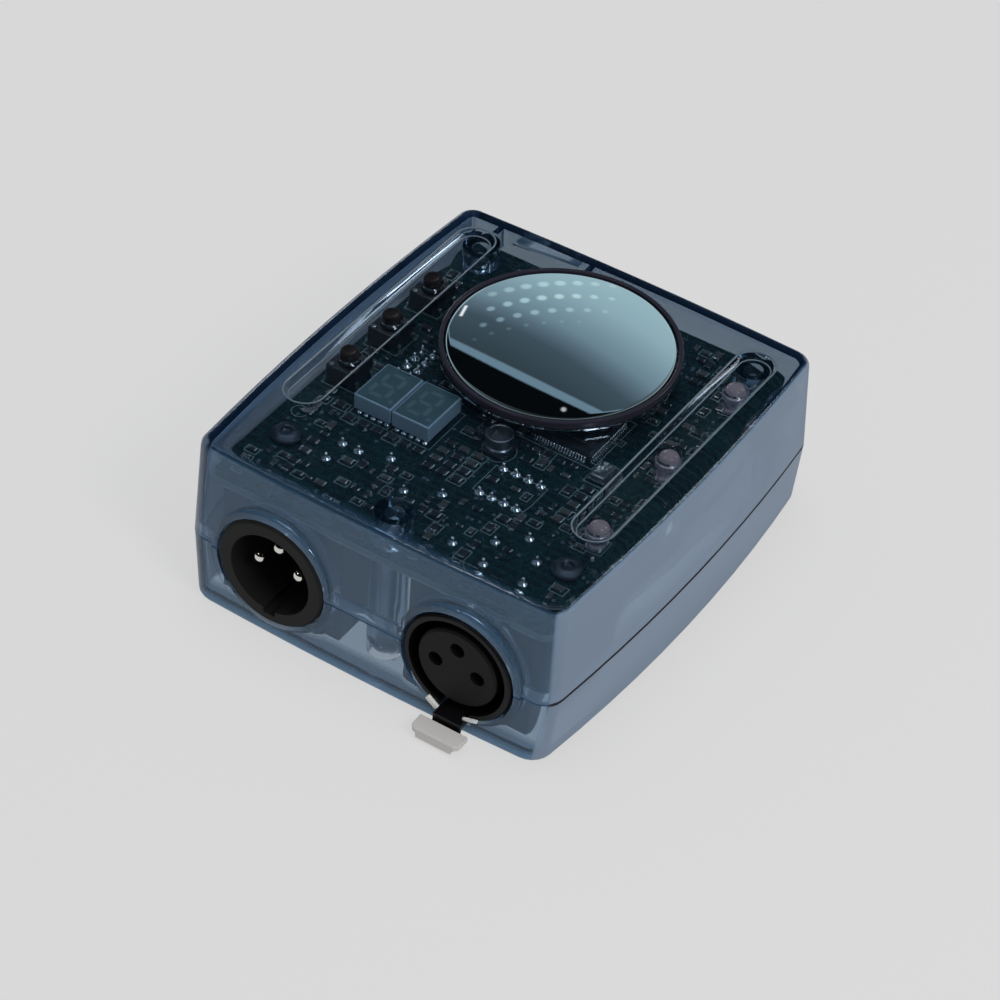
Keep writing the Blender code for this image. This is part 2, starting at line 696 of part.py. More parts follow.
def base_cuts():
    """Connector bores, and a stepped hole up each boss for its screw."""
    bm = bmesh.new()
    add_connector_bores(bm)
    wide = COUNTERBORE_DIAMETER / 2
    narrow = SCREW_DIAMETER / 2 + SEAT_GAP
    for place_xy in BOSS_PLACES:
        add_turned(bm, [(wide, -CLEAR), (wide, COUNTERBORE_DEPTH), (narrow, COUNTERBORE_DEPTH),
                        (narrow, BOARD_BOTTOM_Z)], MEDIUM, place_xy)
    return helper("base_cuts", bm)


def base_notches():
    """Notch that lets the latch's arm out and up, and gaps in the lip.

    The gaps clear the lid's halves of the connector rims, and the nose of the power inlet.
    """
    bm = bmesh.new()
    half = ARM_WIDTH / 2 + 2 * SEAT_GAP
    top = CONNECTOR_Z - TAIL_DROP
    bottom = CONNECTOR_Z - ARM_DROP - ARM_THICKNESS - SEAT_GAP
    front = FRONT_Y - CLEAR
    back = COLLAR_BACK_Y + CLEAR
    add_box(bm, (CONNECTOR_X - half, front, bottom), (CONNECTOR_X + half, back, top))
    half = BARREL_DIAMETER / 2 + BORE_GAP + COLLAR_WALL + SEAT_GAP
    for x in (-CONNECTOR_X, CONNECTOR_X):
        add_box(bm, (x - half, front, PARTING_Z), (x + half, back, PARTING_Z + 2 * LIP_HEIGHT))
    half = INLET_NOSE_DIAMETER / 2 + BORE_GAP
    wall = end_wall_y(INLET_X, PARTING_Z)
    add_box(bm, (INLET_X - half, wall - 3 * WALL, PARTING_Z),
            (INLET_X + half, wall + CLEAR, PARTING_Z + 2 * LIP_HEIGHT))
    return helper("base_notches", bm)


def make_base():
    """Lower shell: a tray whose thin lip stands up inside the lid."""
    rim = PARTING_Z - PARTING_GAP / 2
    lip_inset = WALL - LIP_THICKNESS
    lip_top = PARTING_Z + LIP_HEIGHT
    turn = BASE_EDGE_RADIUS * (1 - math.sqrt(0.5))
    rings = [case_ring(0.0, BASE_EDGE_RADIUS), case_ring(turn, turn),
             case_ring(BASE_EDGE_RADIUS), case_ring(rim), case_ring(rim, lip_inset),
             case_ring(lip_top, lip_inset), case_ring(lip_top, WALL),
             case_ring(FLOOR_THICKNESS, WALL)]
    bm = bmesh.new()
    add_loft(bm, rings)
    base = piece("base_shell", bm, smoky_case())
    shape_by(base, base_additions(), "UNION")
    shape_by(base, base_cuts(), "DIFFERENCE")
    shape_by(base, base_notches(), "DIFFERENCE")


def make_case_screws():
    """Three pan-headed screws, from under the base through the board into the lid."""
    head_top = COUNTERBORE_DEPTH - SEAT_GAP
    head = SCREW_HEAD_DIAMETER / 2
    shank = SCREW_DIAMETER / 2
    socket = SCREW_SOCKET_DIAMETER / 2
    round_start = SCREW_HEAD_HEIGHT / 2
    profile = [(socket, SCREW_SOCKET_DEPTH - SCREW_HEAD_HEIGHT), (socket, -SCREW_HEAD_HEIGHT),
               ((socket + head) / 2, -SCREW_HEAD_HEIGHT), (head, -round_start), (head, 0.0),
               (shank, 0.0), (shank, SCREW_LENGTH - shank), (SCREW_TIP_DIAMETER / 2, SCREW_LENGTH)]
    for number, (x, y) in enumerate(BOSS_PLACES, start=1):
        bm = bmesh.new()
        add_turned(bm, profile, COARSE)
        piece(f"case_screw_{number}", bm, steel(), (x, y, head_top))


# Domed cap

def make_dome():
    """Shallow dome with a spigot ring that drops into the lid's round hole."""
    edge = DOME_DIAMETER / 2
    flange_z = LID_TOP_Z + SEAT_GAP
    edge_z = LID_TOP_Z + DOME_EDGE_HEIGHT
    sphere = (edge ** 2 + DOME_RISE ** 2) / (2 * DOME_RISE)
    sphere_z = edge_z + DOME_RISE - sphere
    spigot = DOME_SPIGOT_RADIUS
    steps = 6
    crown = []
    for step in range(steps):
        radius = edge * (1 - step / steps)
        crown.append((radius, sphere_z + math.sqrt(sphere ** 2 - radius ** 2)))
    spigot_bottom = LID_TOP_Z - DOME_SPIGOT_DEPTH
    hollow = spigot - DOME_WALL
    inside = [(hollow, edge_z - DOME_HOLLOW_DROP), (hollow, spigot_bottom),
              (spigot, spigot_bottom), (spigot, flange_z), (edge, flange_z)]
    bm = bmesh.new()
    add_turned(bm, inside + crown, FINE)
    piece("dome_cap", bm, mirror_dome(), (0, DOME_Y, 0))


def make_bezel():
    """Raised ring round the dome, seated in a groove of the lid, with a rounded upper edge."""
    inner = DOME_DIAMETER / 2 + SEAT_GAP
    outer = inner + BEZEL_WALL
    foot = LID_TOP_Z - BEZEL_SEAT_DEPTH + SEAT_GAP
    top = LID_TOP_Z + BEZEL_HEIGHT
    soft = BEZEL_CHAMFER
    bm = bmesh.new()
    add_hollow_turned(bm, [(inner, foot), (outer, foot), (outer, top - soft), (outer - soft, top),
                           (inner + soft, top), (inner, top - soft)], FINE)
    piece("dome_ring", bm, smoky_ring(), (0, DOME_Y, 0))


# Circuit board

def make_board():
    """Main board with cut corners, held at the bosses and drilled for the fixing screws.

    The small parts and the solder joints on its top are fused to it, as they are by solder.
    """
    x, y = board_half_sizes()
    cut = BOARD_CORNER_CUT
    outline = [(x, cut - y), (x, y - cut), (x - cut, y), (cut - x, y),
               (-x, y - cut), (-x, cut - y), (cut - x, -y), (x - cut, -y)]
    bm = bmesh.new()
    add_loft(bm, [[(px, py, z) for px, py in outline] for z in (BOARD_BOTTOM_Z, BOARD_TOP_Z)])
    board = piece("circuit_board", bm, board_green())
    holes = bmesh.new()
    for place_xy in BOSS_PLACES:
        radius = SCREW_DIAMETER / 2 + SEAT_GAP
        add_turned(holes, [(radius, BOARD_BOTTOM_Z - CLEAR), (radius, BOARD_TOP_Z + CLEAR)],
                   COARSE, place_xy)
    for place_xy in fixing_screw_places():
        radius = FIXING_SCREW_DIAMETER / 2 + SEAT_GAP
        add_turned(holes, [(radius, BOARD_BOTTOM_Z - CLEAR), (radius, BOARD_TOP_Z + CLEAR)],
                   COARSE, place_xy)
    shape_by(board, helper("board_holes", holes), "DIFFERENCE")
    shape_by(board, helper("soldered_parts", soldered_parts()), "UNION")


def fixing_screw_places():
    """Where a screw holds each connector to the board, on the side away from the middle."""
    x = CONNECTOR_X + FIXING_SCREW_OFFSET
    y = CONNECTOR_FACE_Y + FIXING_SCREW_SETBACK
    return ((-x, y), (x, y))


def make_fixing_screws():
    """Two round-headed screws, from the top of the board into the connector housings."""
    top = FIXING_HEAD_HEIGHT
    head = FIXING_HEAD_DIAMETER / 2
    shank = FIXING_SCREW_DIAMETER / 2
    socket = FIXING_SOCKET_DIAMETER / 2
    profile = [(FIXING_TIP_DIAMETER / 2, top - FIXING_SCREW_LENGTH),
               (shank, top - FIXING_SCREW_LENGTH + shank), (shank, 0.0), (head, 0.0),
               (head, top / 2), ((socket + head) / 2, top), (socket, top),
               (socket, top - FIXING_SOCKET_DEPTH)]
    for number, (x, y) in enumerate(fixing_screw_places(), start=1):
        bm = bmesh.new()
        add_turned(bm, profile, COARSE)
        piece(f"connector_screw_{number}", bm, steel(), (x, y, BOARD_TOP_Z + SEAT_GAP))


# Connectors, modelled with their axis along Z and their mating face at Z = 0

def housing_shape(name, x, bore_radius, bore_depth, finish):
    """Square housing with a round barrel in front of it and a bore up the middle."""
    barrel = BARREL_DIAMETER / 2
    head_room = BOARD_RISE - SEAT_GAP
    bm = bmesh.new()
    add_box(bm, (-HOUSING_WIDTH / 2, -HOUSING_DROP, -HOUSING_SETBACK - HOUSING_DEPTH),
            (HOUSING_WIDTH / 2, head_room, -HOUSING_SETBACK))
    at = (x, CONNECTOR_FACE_Y, CONNECTOR_Z)
    housing = piece(name, bm, finish, at, FRONTWARD)
    tube = bmesh.new()
    add_turned(tube, [(barrel, -HOUSING_SETBACK - OVERLAP), (barrel, -BARREL_CHAMFER),
                      (barrel - BARREL_CHAMFER, 0.0)], FINE)
    shape_by(housing, helper(name + "_barrel", tube, at, FRONTWARD), "UNION")
    bore = bmesh.new()
    add_turned(bore, [(bore_radius, -bore_depth), (bore_radius, CLEAR)], FINE)
    shape_by(housing, helper(name + "_bore", bore, at, FRONTWARD), "DIFFERENCE")
    hole = bmesh.new()
    radius = FIXING_SCREW_DIAMETER / 2 + SEAT_GAP
    left, right = fixing_screw_places()
    add_turned(hole, [(radius, BOARD_BOTTOM_Z - FIXING_SCREW_LENGTH),
                      (radius, BOARD_BOTTOM_Z + CLEAR)], COARSE, left if x < 0 else right)
    shape_by(housing, helper(name + "_screw_hole", hole), "DIFFERENCE")
    return housing, at


def make_male_connector():
    """Charcoal housing, with three plated pins in a black base at the bottom of its bore."""
    radius = MALE_BORE_DIAMETER / 2
    housing, at = housing_shape("male_housing", -CONNECTOR_X, radius, MALE_BORE_DEPTH,
                                charcoal_plastic())
    keyway = bmesh.new()
    add_box(keyway, (-KEYWAY_WIDTH / 2, -radius - KEYWAY_DEPTH, -MALE_BORE_DEPTH),
            (KEYWAY_WIDTH / 2, -radius + KEYWAY_DEPTH, CLEAR))
    shape_by(housing, helper("male_keyway", keyway, at, FRONTWARD), "DIFFERENCE")

    floor = -MALE_BORE_DEPTH + SEAT_GAP
    base = bmesh.new()
    add_turned(base, [(radius - SEAT_GAP, floor), (radius - SEAT_GAP, floor + MALE_BASE_THICKNESS)],
               FINE)
    disc = piece("male_pin_base", base, black_plastic(), at, FRONTWARD)
    holes = bmesh.new()
    hole = PIN_DIAMETER / 2 + SEAT_GAP
    for place_xy in PIN_PLACES:
        add_turned(holes, [(hole, floor - CLEAR), (hole, floor + MALE_BASE_THICKNESS + CLEAR)],
                   COARSE, place_xy)
    shape_by(disc, helper("male_pin_holes", holes, at, FRONTWARD), "DIFFERENCE")

    shaft = PIN_DIAMETER / 2
    tip = PIN_TIP_DIAMETER / 2
    profile = [(shaft, floor), (shaft, -PIN_SETBACK - PIN_TIP_LENGTH),
               ((shaft + tip) / 2 + tip / 2, -PIN_SETBACK - PIN_TIP_LENGTH / 3),
               (tip, -PIN_SETBACK)]
    for number, place_xy in enumerate(PIN_PLACES, start=1):
        pin = bmesh.new()
        add_turned(pin, profile, MEDIUM, place_xy)
        piece(f"male_pin_{number}", pin, plated_contact(), at, FRONTWARD)


def latch_slots(at):
    """Slot along the bottom of the housing and barrel for the arm, and a room for the spring."""
    half = ARM_WIDTH / 2 + SEAT_GAP
    hook_top = -TAIL_DROP + HOOK_RISE + SEAT_GAP
    low = -HOUSING_DROP - CLEAR
    arm = bmesh.new()
    add_box(arm, (-half, low, -PIVOT_SETBACK - TAIL_LENGTH - 2 * SEAT_GAP),
            (half, hook_top, CLEAR))
    spring = bmesh.new()
    reach = SPRING_COIL_RADIUS + SPRING_WIRE / 2 + SEAT_GAP
    length = SPRING_TURNS * SPRING_PITCH + 2 * SPRING_WIRE + 2 * SEAT_GAP
    add_box(spring, (half - OVERLAP, low, -PIVOT_SETBACK - reach),
            (half + length, -PIVOT_DROP + reach, -PIVOT_SETBACK + SPRING_LEG + SEAT_GAP))
    return (helper("arm_slot", arm, at, FRONTWARD), helper("spring_slot", spring, at, FRONTWARD))


def make_female_connector():
    """Black housing with a round insert of three sockets and a latch below it."""
    housing, at = housing_shape("female_housing", CONNECTOR_X, FEMALE_BORE_DIAMETER / 2,
                                FEMALE_BORE_DEPTH, black_plastic())
    for slot in latch_slots(at):
        shape_by(housing, slot, "DIFFERENCE")
    pin_hole = bmesh.new()
    reach = PIVOT_PIN_LENGTH / 2 + SEAT_GAP
    add_turned(pin_hole, [(PIVOT_PIN_DIAMETER / 2 + PIN_GAP, -reach),
                          (PIVOT_PIN_DIAMETER / 2 + PIN_GAP, reach)], COARSE)
    shape_by(housing, helper("pivot_pin_hole", pin_hole, pivot_place(), SIDEWARD), "DIFFERENCE")

    radius = INSERT_DIAMETER / 2
    floor = -FEMALE_BORE_DEPTH + SEAT_GAP
    disc = bmesh.new()
    add_turned(disc, [(radius, floor), (radius, -INSERT_CHAMFER),
                      (radius - INSERT_CHAMFER, 0.0)], FINE)
    insert = piece("female_insert", disc, insert_plastic(), at, FRONTWARD)
    holes = bmesh.new()
    bore = CONTACT_BORE_DIAMETER / 2
    for place_xy in PIN_PLACES:
        add_turned(holes, [(bore, -CONTACT_BORE_DEPTH), (bore, CLEAR)], COARSE, place_xy)
    shape_by(insert, helper("socket_holes", holes, at, FRONTWARD), "DIFFERENCE")

    outer = bore - SEAT_GAP
    inner = outer - CONTACT_WALL
    start, end = -CONTACT_BORE_DEPTH + SEAT_GAP, -CONTACT_SETBACK
    for number, place_xy in enumerate(PIN_PLACES, start=1):
        tube = bmesh.new()
        add_hollow_turned(tube, [(inner, start), (outer, start), (outer, end), (inner, end)],
                          COARSE, place_xy)
        piece(f"female_contact_{number}", tube, plated_contact(), at, FRONTWARD)


# Latch, modelled about its pivot

def pivot_place():
    """Centre of the latch's pivot pin."""
    return Vector((CONNECTOR_X, CONNECTOR_FACE_Y + PIVOT_SETBACK, CONNECTOR_Z - PIVOT_DROP))


def arm_outline():
    """Side outline of the arm about its pivot: tongue in front, hook behind."""
    face = -PIVOT_SETBACK
    top = PIVOT_DROP - ARM_DROP
    bottom = top - ARM_THICKNESS
    tongue_top = PIVOT_DROP - TAB_DROP - TAB_THICKNESS - SEAT_GAP
    tongue_bottom = tongue_top - TONGUE_THICKNESS
    tongue_tip = face - TAB_REACH + TAB_THICKNESS + SEAT_GAP
    tab_back = face - TAB_REACH + TAB_DEPTH
    neck = face - NECK_REACH
    tail_top = PIVOT_DROP - TAIL_DROP
    tail_bottom = tail_top - TAIL_THICKNESS
    hook_top = tail_top + HOOK_RISE
    hook = TAIL_LENGTH - HOOK_LENGTH
    return [(0.0, bottom), (neck, bottom), (tab_back, tongue_bottom), (tongue_tip, tongue_bottom),
            (tongue_tip, tongue_top), (tab_back + OVERLAP, tongue_top),
            (neck - NECK_THICKNESS, top), (0.0, top), (ARM_EYE_RADIUS, tail_top),
            (hook - HOOK_RAMP, tail_top), (hook, hook_top), (TAIL_LENGTH, hook_top),
            (TAIL_LENGTH, tail_bottom), (ARM_EYE_RADIUS, tail_bottom)]


def make_latch():
    """Arm with an eye round the pin, and the thumb tab clipped on its tongue.

    The tab and the hook are on opposite sides of the pin, so lifting the tab drops the hook.
    """
    pivot = bpy.data.objects.new("latch_pivot", None)
    bpy.context.scene.collection.objects.link(pivot)
    pivot.location = pivot_place()
    bpy.context.view_layer.update()

    bm = bmesh.new()
    add_prism(bm, arm_outline(), ARM_WIDTH / 2)
    arm = piece("latch_arm", bm, black_plastic(), pivot.location)
    eye = bmesh.new()
    add_turned(eye, [(ARM_EYE_RADIUS, -ARM_WIDTH / 2), (ARM_EYE_RADIUS, ARM_WIDTH / 2)], MEDIUM)
    shape_by(arm, helper("latch_eye", eye, pivot.location, SIDEWARD), "UNION")
    hole = bmesh.new()
    radius = PIVOT_PIN_DIAMETER / 2 + PIN_GAP
    add_turned(hole, [(radius, -ARM_WIDTH), (radius, ARM_WIDTH)], COARSE)
    shape_by(arm, helper("latch_eye_hole", hole, pivot.location, SIDEWARD), "DIFFERENCE")

    tab_top = PIVOT_DROP - TAB_DROP
    tongue_bottom = tab_top - TAB_THICKNESS - SEAT_GAP - TONGUE_THICKNESS
    tab = piece("latch_tab", tab_shape(-PIVOT_SETBACK, tab_top, tongue_bottom), bright_tab(),
                pivot.location)
    for moving in (arm, tab):
        moving.parent = pivot
        moving.matrix_parent_inverse = pivot.matrix_world.inverted()


def tab_shape(face, top, bottom):
    """Plate with round front corners and a lip that turns down in front of the tongue."""
    half = TAB_WIDTH / 2
    front = face - TAB_REACH
    back = front + TAB_DEPTH
    corner = TAB_CORNER_RADIUS
    steps = 4
    outline = [(-half, back), (half, back)]
    for side in (1, -1):
        for step in range(steps + 1):
            angle = math.pi / 2 * (step if side > 0 else steps - step) / steps
            outline.append((side * (half - corner + corner * math.cos(angle)),
                            front + corner - corner * math.sin(angle)))
    bm = bmesh.new()
    add_loft(bm, [[(x, y, z) for x, y in outline] for z in (top - TAB_THICKNESS, top)])
    plate = helper("tab_plate", bm)
    lip = bmesh.new()
    inside = half - corner
    add_box(lip, (-inside, front, bottom),
            (inside, front + TAB_THICKNESS, top - TAB_THICKNESS / 2))
    return joined_mesh(plate, helper("tab_lip", lip))


def joined_mesh(first, second):
    """Union of two helpers, as an editable mesh."""
    shape_by(first, second, "UNION")
    graph = bpy.context.evaluated_depsgraph_get()
    bm = bmesh.new()
    bm.from_mesh(first.evaluated_get(graph).to_mesh())
    return bm


def make_pivot_pin():
    """Plain pin across the housing."""
    radius = PIVOT_PIN_DIAMETER / 2
    half = PIVOT_PIN_LENGTH / 2
    bm = bmesh.new()
    add_turned(bm, [(radius, -half), (radius, half)], COARSE)
    piece("latch_pin", bm, steel(), pivot_place(), SIDEWARD)


def make_latch_spring():
    """Torsion spring round the pin beside the arm, with one leg forward."""
    start = ARM_WIDTH / 2 + SEAT_GAP + SPRING_WIRE
    points = [(start, -SPRING_LEG, SPRING_COIL_RADIUS)]
    per_turn = 10
    for step in range(SPRING_TURNS * per_turn + 1):
        angle = math.pi / 2 + 2 * math.pi * step / per_turn
        points.append((start + SPRING_PITCH * step / per_turn, SPRING_COIL_RADIUS * math.cos(angle),
                       SPRING_COIL_RADIUS * math.sin(angle)))
    curve = bpy.data.curves.new("latch_spring", "CURVE")
    curve.dimensions = "3D"
    curve.bevel_depth = SPRING_WIRE / 2
    curve.bevel_resolution = 1
    curve.use_fill_caps = True
    path = curve.splines.new("POLY")
    path.points.add(len(points) - 1)
    for point, place_xyz in zip(path.points, points):
        point.co = (*place_xyz, 1.0)
    curve.materials.append(steel())
    place("latch_spring", curve, pivot_place())


# Buttons and lights

def make_buttons():
    """Three switches on the board, each with a round button that slides down into it."""
    body_top = BOARD_TOP_Z + SEAT_GAP + SWITCH_HEIGHT
    well_floor = body_top - SWITCH_WELL_DEPTH
    well_radius = BUTTON_DIAMETER / 2 + SEAT_GAP
    foot = well_floor + BUTTON_TRAVEL + SEAT_GAP
    top = POCKET_FLOOR_Z + BUTTON_RISE
    radius = BUTTON_DIAMETER / 2
    for number, (x, y) in enumerate(BUTTON_PLACES, start=1):
        body = bmesh.new()
        add_block(body, (0, 0, BOARD_TOP_Z + SEAT_GAP), (SWITCH_WIDTH, SWITCH_WIDTH, SWITCH_HEIGHT))
        switch = piece(f"switch_{number}", body, charcoal_plastic(), (x, y, 0))
        well = bmesh.new()
        add_turned(well, [(well_radius, well_floor), (well_radius, body_top + CLEAR)], MEDIUM)
        shape_by(switch, helper(f"switch_well_{number}", well, (x, y, 0)), "DIFFERENCE")
        stem = bmesh.new()
        add_turned(stem, [(radius, 0.0), (radius, top - foot - BUTTON_CHAMFER),
                          (radius - BUTTON_CHAMFER, top - foot)], MEDIUM)
        piece(f"button_{number}", stem, black_plastic(), (x, y, foot))


def make_lights():
    """Three lights standing on the board, their round tops in the holes of the pocket."""
    radius = LIGHT_DIAMETER / 2
    flange = LIGHT_FLANGE / 2
    bottom = BOARD_TOP_Z + SEAT_GAP
    top = POCKET_FLOOR_Z + LIGHT_RISE
    shoulder = top - LIGHT_CROWN
    flange_bottom = CEILING_Z - SEAT_GAP - LIGHT_FLANGE_HEIGHT
    flange_top = CEILING_Z - SEAT_GAP
    profile = [(radius, bottom), (radius, flange_bottom), (flange, flange_bottom),
               (flange, flange_top), (radius, flange_top), (radius, shoulder)]
    steps = 3
    for step in range(1, steps):
        angle = math.pi / 2 * step / steps
        profile.append((radius * math.cos(angle), shoulder + LIGHT_CROWN * math.sin(angle)))
    profile.append((radius / ROUGH, top))
    for number, (x, y) in enumerate(LIGHT_PLACES, start=1):
        bm = bmesh.new()
        add_turned(bm, profile, MEDIUM)
        piece(f"status_light_{number}", bm, clear_light(), (x, y, 0))


# Parts on the circuit board

def make_display():
    """Two digits side by side, each a block on two rows of short legs."""
    bottom = BOARD_TOP_Z + DISPLAY_STANDOFF
    half_pitch = (DIGIT_WIDTH + SEAT_GAP) / 2
    for side, name in ((-1, "display_digit_left"), (1, "display_digit_right")):
        at = (DISPLAY_X + side * half_pitch, DISPLAY_Y, bottom)
        bm = bmesh.new()
        rings = []
        for inset, z in ((0.0, 0.0), (0.0, DIGIT_HEIGHT - DIGIT_BEVEL), (DIGIT_BEVEL, DIGIT_HEIGHT)):
            x = DIGIT_WIDTH / 2 - inset
            y = DIGIT_LENGTH / 2 - inset
            rings.append([(-x, -y, z), (x, -y, z), (x, y, z), (-x, y, z)])
        add_loft(bm, rings)
        digit = piece(name, bm, display_face(), at)
        legs = bmesh.new()
        for row in (-1, 1):
            for step in range(LEG_COUNT):
                x = (step - (LEG_COUNT - 1) / 2) * LEG_PITCH
                y = row * (DIGIT_LENGTH / 2 - LEG_INSET)
                add_block(legs, (x, y, SEAT_GAP - DISPLAY_STANDOFF),
                          (LEG_WIDTH, LEG_WIDTH, DISPLAY_STANDOFF))
        shape_by(digit, helper(name + "_legs", legs, at), "UNION")


def make_package(name, finish, centre, size):
    """Moulded package: a box standing on its centre's level, drawn in below and above."""
    width, length, height = size
    rings = []
    for inset, z in ((PACKAGE_DRAFT, 0.0), (0.0, (height - PACKAGE_BELT) / 2),
                     (0.0, (height + PACKAGE_BELT) / 2), (PACKAGE_DRAFT, height)):
        x = width / 2 - inset
        y = length / 2 - inset
        rings.append([(-x, -y, z), (x, -y, z), (x, y, z), (-x, y, z)])
    bm = bmesh.new()
    add_loft(bm, rings)
    piece(name, bm, finish, centre)


def make_board_parts():
    """Processor, crystal and the radio with its shield and antenna, on top of the board."""
    seat = BOARD_TOP_Z + SEAT_GAP
    make_package("processor", black_plastic(), (CHIP_X, CHIP_Y, seat),
                 (CHIP_WIDTH, CHIP_WIDTH, CHIP_HEIGHT))
    make_package("crystal", steel(), (CRYSTAL_X, CRYSTAL_Y, seat),
                 (CRYSTAL_WIDTH, CRYSTAL_LENGTH, CRYSTAL_HEIGHT))
    radio = bmesh.new()
    add_block(radio, (0, 0, 0), (RADIO_WIDTH, RADIO_LENGTH, RADIO_THICKNESS))
    piece("radio_board", radio, board_green(), (RADIO_X, RADIO_Y, seat))
    on_radio = seat + RADIO_THICKNESS + SEAT_GAP
    shield_y = RADIO_Y - RADIO_LENGTH / 2 + SHIELD_MARGIN + SHIELD_LENGTH / 2
    make_package("radio_shield", steel(), (RADIO_X, shield_y, on_radio),
                 (RADIO_WIDTH - 2 * SHIELD_MARGIN, SHIELD_LENGTH, SHIELD_HEIGHT))
    antenna_y = RADIO_Y + RADIO_LENGTH / 2 - SHIELD_MARGIN - ANTENNA_WIDTH / 2
    make_package("radio_antenna", ceramic(), (RADIO_X, antenna_y, on_radio),
                 (ANTENNA_LENGTH, ANTENNA_WIDTH, ANTENNA_HEIGHT))


def add_can(bm, radius, height):
    """Round can standing on its lead end, with a crimped groove near that end."""
    groove = CAN_GROOVE_START + CAN_GROOVE_HEIGHT
    add_turned(bm, [(radius, 0.0), (radius, CAN_GROOVE_START),
                    (radius - CAN_GROOVE_DEPTH, CAN_GROOVE_START + CAN_GROOVE_HEIGHT / 2),
                    (radius, groove), (radius, height - CAN_CHAMFER),
                    (radius - CAN_CHAMFER, height)], MEDIUM)


def make_capacitors():
    """Small round capacitor on top of the board and a taller one hanging below it."""
    small = bmesh.new()
    add_can(small, CAPACITOR_DIAMETER / 2, CAPACITOR_HEIGHT)
    piece("capacitor", small, steel(), (CAPACITOR_X, CAPACITOR_Y, BOARD_TOP_Z + SEAT_GAP))
    tall = bmesh.new()
    add_can(tall, RESERVOIR_DIAMETER / 2, RESERVOIR_HEIGHT)
    piece("reservoir_capacitor", tall, black_plastic(),
          (RESERVOIR_X, RESERVOIR_Y, BOARD_BOTTOM_Z - SEAT_GAP), Matrix.Rotation(math.pi, 4, "X"))


def make_parts_below():
    """Line driver and voltage regulator under the board."""
    seat = BOARD_BOTTOM_Z - SEAT_GAP
    make_package("line_driver", black_plastic(), (DRIVER_X, DRIVER_Y, seat - DRIVER_HEIGHT),
                 (DRIVER_WIDTH, DRIVER_LENGTH, DRIVER_HEIGHT))
    make_package("voltage_regulator", black_plastic(),
                 (REGULATOR_X, REGULATOR_Y, seat - REGULATOR_HEIGHT),
                 (REGULATOR_WIDTH, REGULATOR_LENGTH, REGULATOR_HEIGHT))


def joint_places():
    """Solder joints on top of the board: the driver's two rows, both connectors, a header."""
    for column in range(4):
        x = DRIVER_X + (column - 1.5) * LEAD_PITCH
        yield x, DRIVER_Y + DRIVER_ROW_GAP / 2
        yield x, DRIVER_Y - DRIVER_ROW_GAP / 2
    male_x = -CONNECTOR_X - MALE_LEAD_GAP / 4
    yield male_x, MALE_LEADS_Y
    yield male_x + MALE_LEAD_GAP, MALE_LEADS_Y
    yield male_x, MALE_LEADS_Y - MALE_THIRD_LEAD_GAP
    for across, back in PIN_PLACES:
        yield CONNECTOR_X + across, FEMALE_LEADS_Y + back
    for row in range(4):
        for column in range(2):
            yield HEADER_X + column * LEAD_PITCH, HEADER_Y + row * LEAD_PITCH


def resistor_places():
    """Rows of small parts: in front of the display, beside the driver and by both edges."""
    display_row = DISPLAY_Y - DIGIT_LENGTH / 2 - DISPLAY_ROW_GAP - RESISTOR_WIDTH / 2
    for column in range(6):
        yield DISPLAY_X + (column - 2.5) * RESISTOR_PITCH, display_row
    beside = DRIVER_X - DRIVER_WIDTH / 2 - DRIVER_ROWS_GAP - RESISTOR_LENGTH / 2
    for column in range(3):
        for row in range(4):
            yield beside - column * RESISTOR_PITCH, DRIVER_Y + (1.5 - row) * RESISTOR_STEP
    behind = CRYSTAL_Y - CRYSTAL_LENGTH / 2
    for row in range(5):
        yield CRYSTAL_X, behind - (row + 1) * RESISTOR_STEP
    first_switch = POCKET_Y - BUTTON_PITCH - SWITCH_WIDTH / 2
    for row in range(4):
        yield -POCKET_X, first_switch - (row + 1) * RESISTOR_STEP


def soldered_parts():
    """Cones of solder round the ends of the leads, and rows of small flat parts."""
    bm = bmesh.new()
    root = BOARD_TOP_Z - OVERLAP
    foot = JOINT_DIAMETER / 2
    tip = JOINT_TIP_DIAMETER / 2
    for place_xy in joint_places():
        add_turned(bm, [(foot, root), (foot, BOARD_TOP_Z + JOINT_HEIGHT / 8),
                        (tip, BOARD_TOP_Z + JOINT_HEIGHT)], ROUGH, place_xy)
    height = RESISTOR_HEIGHT + OVERLAP
    for x, y in resistor_places():
        add_block(bm, (x, y, root), (RESISTOR_LENGTH, RESISTOR_WIDTH, height))
    return bm


# Power inlet

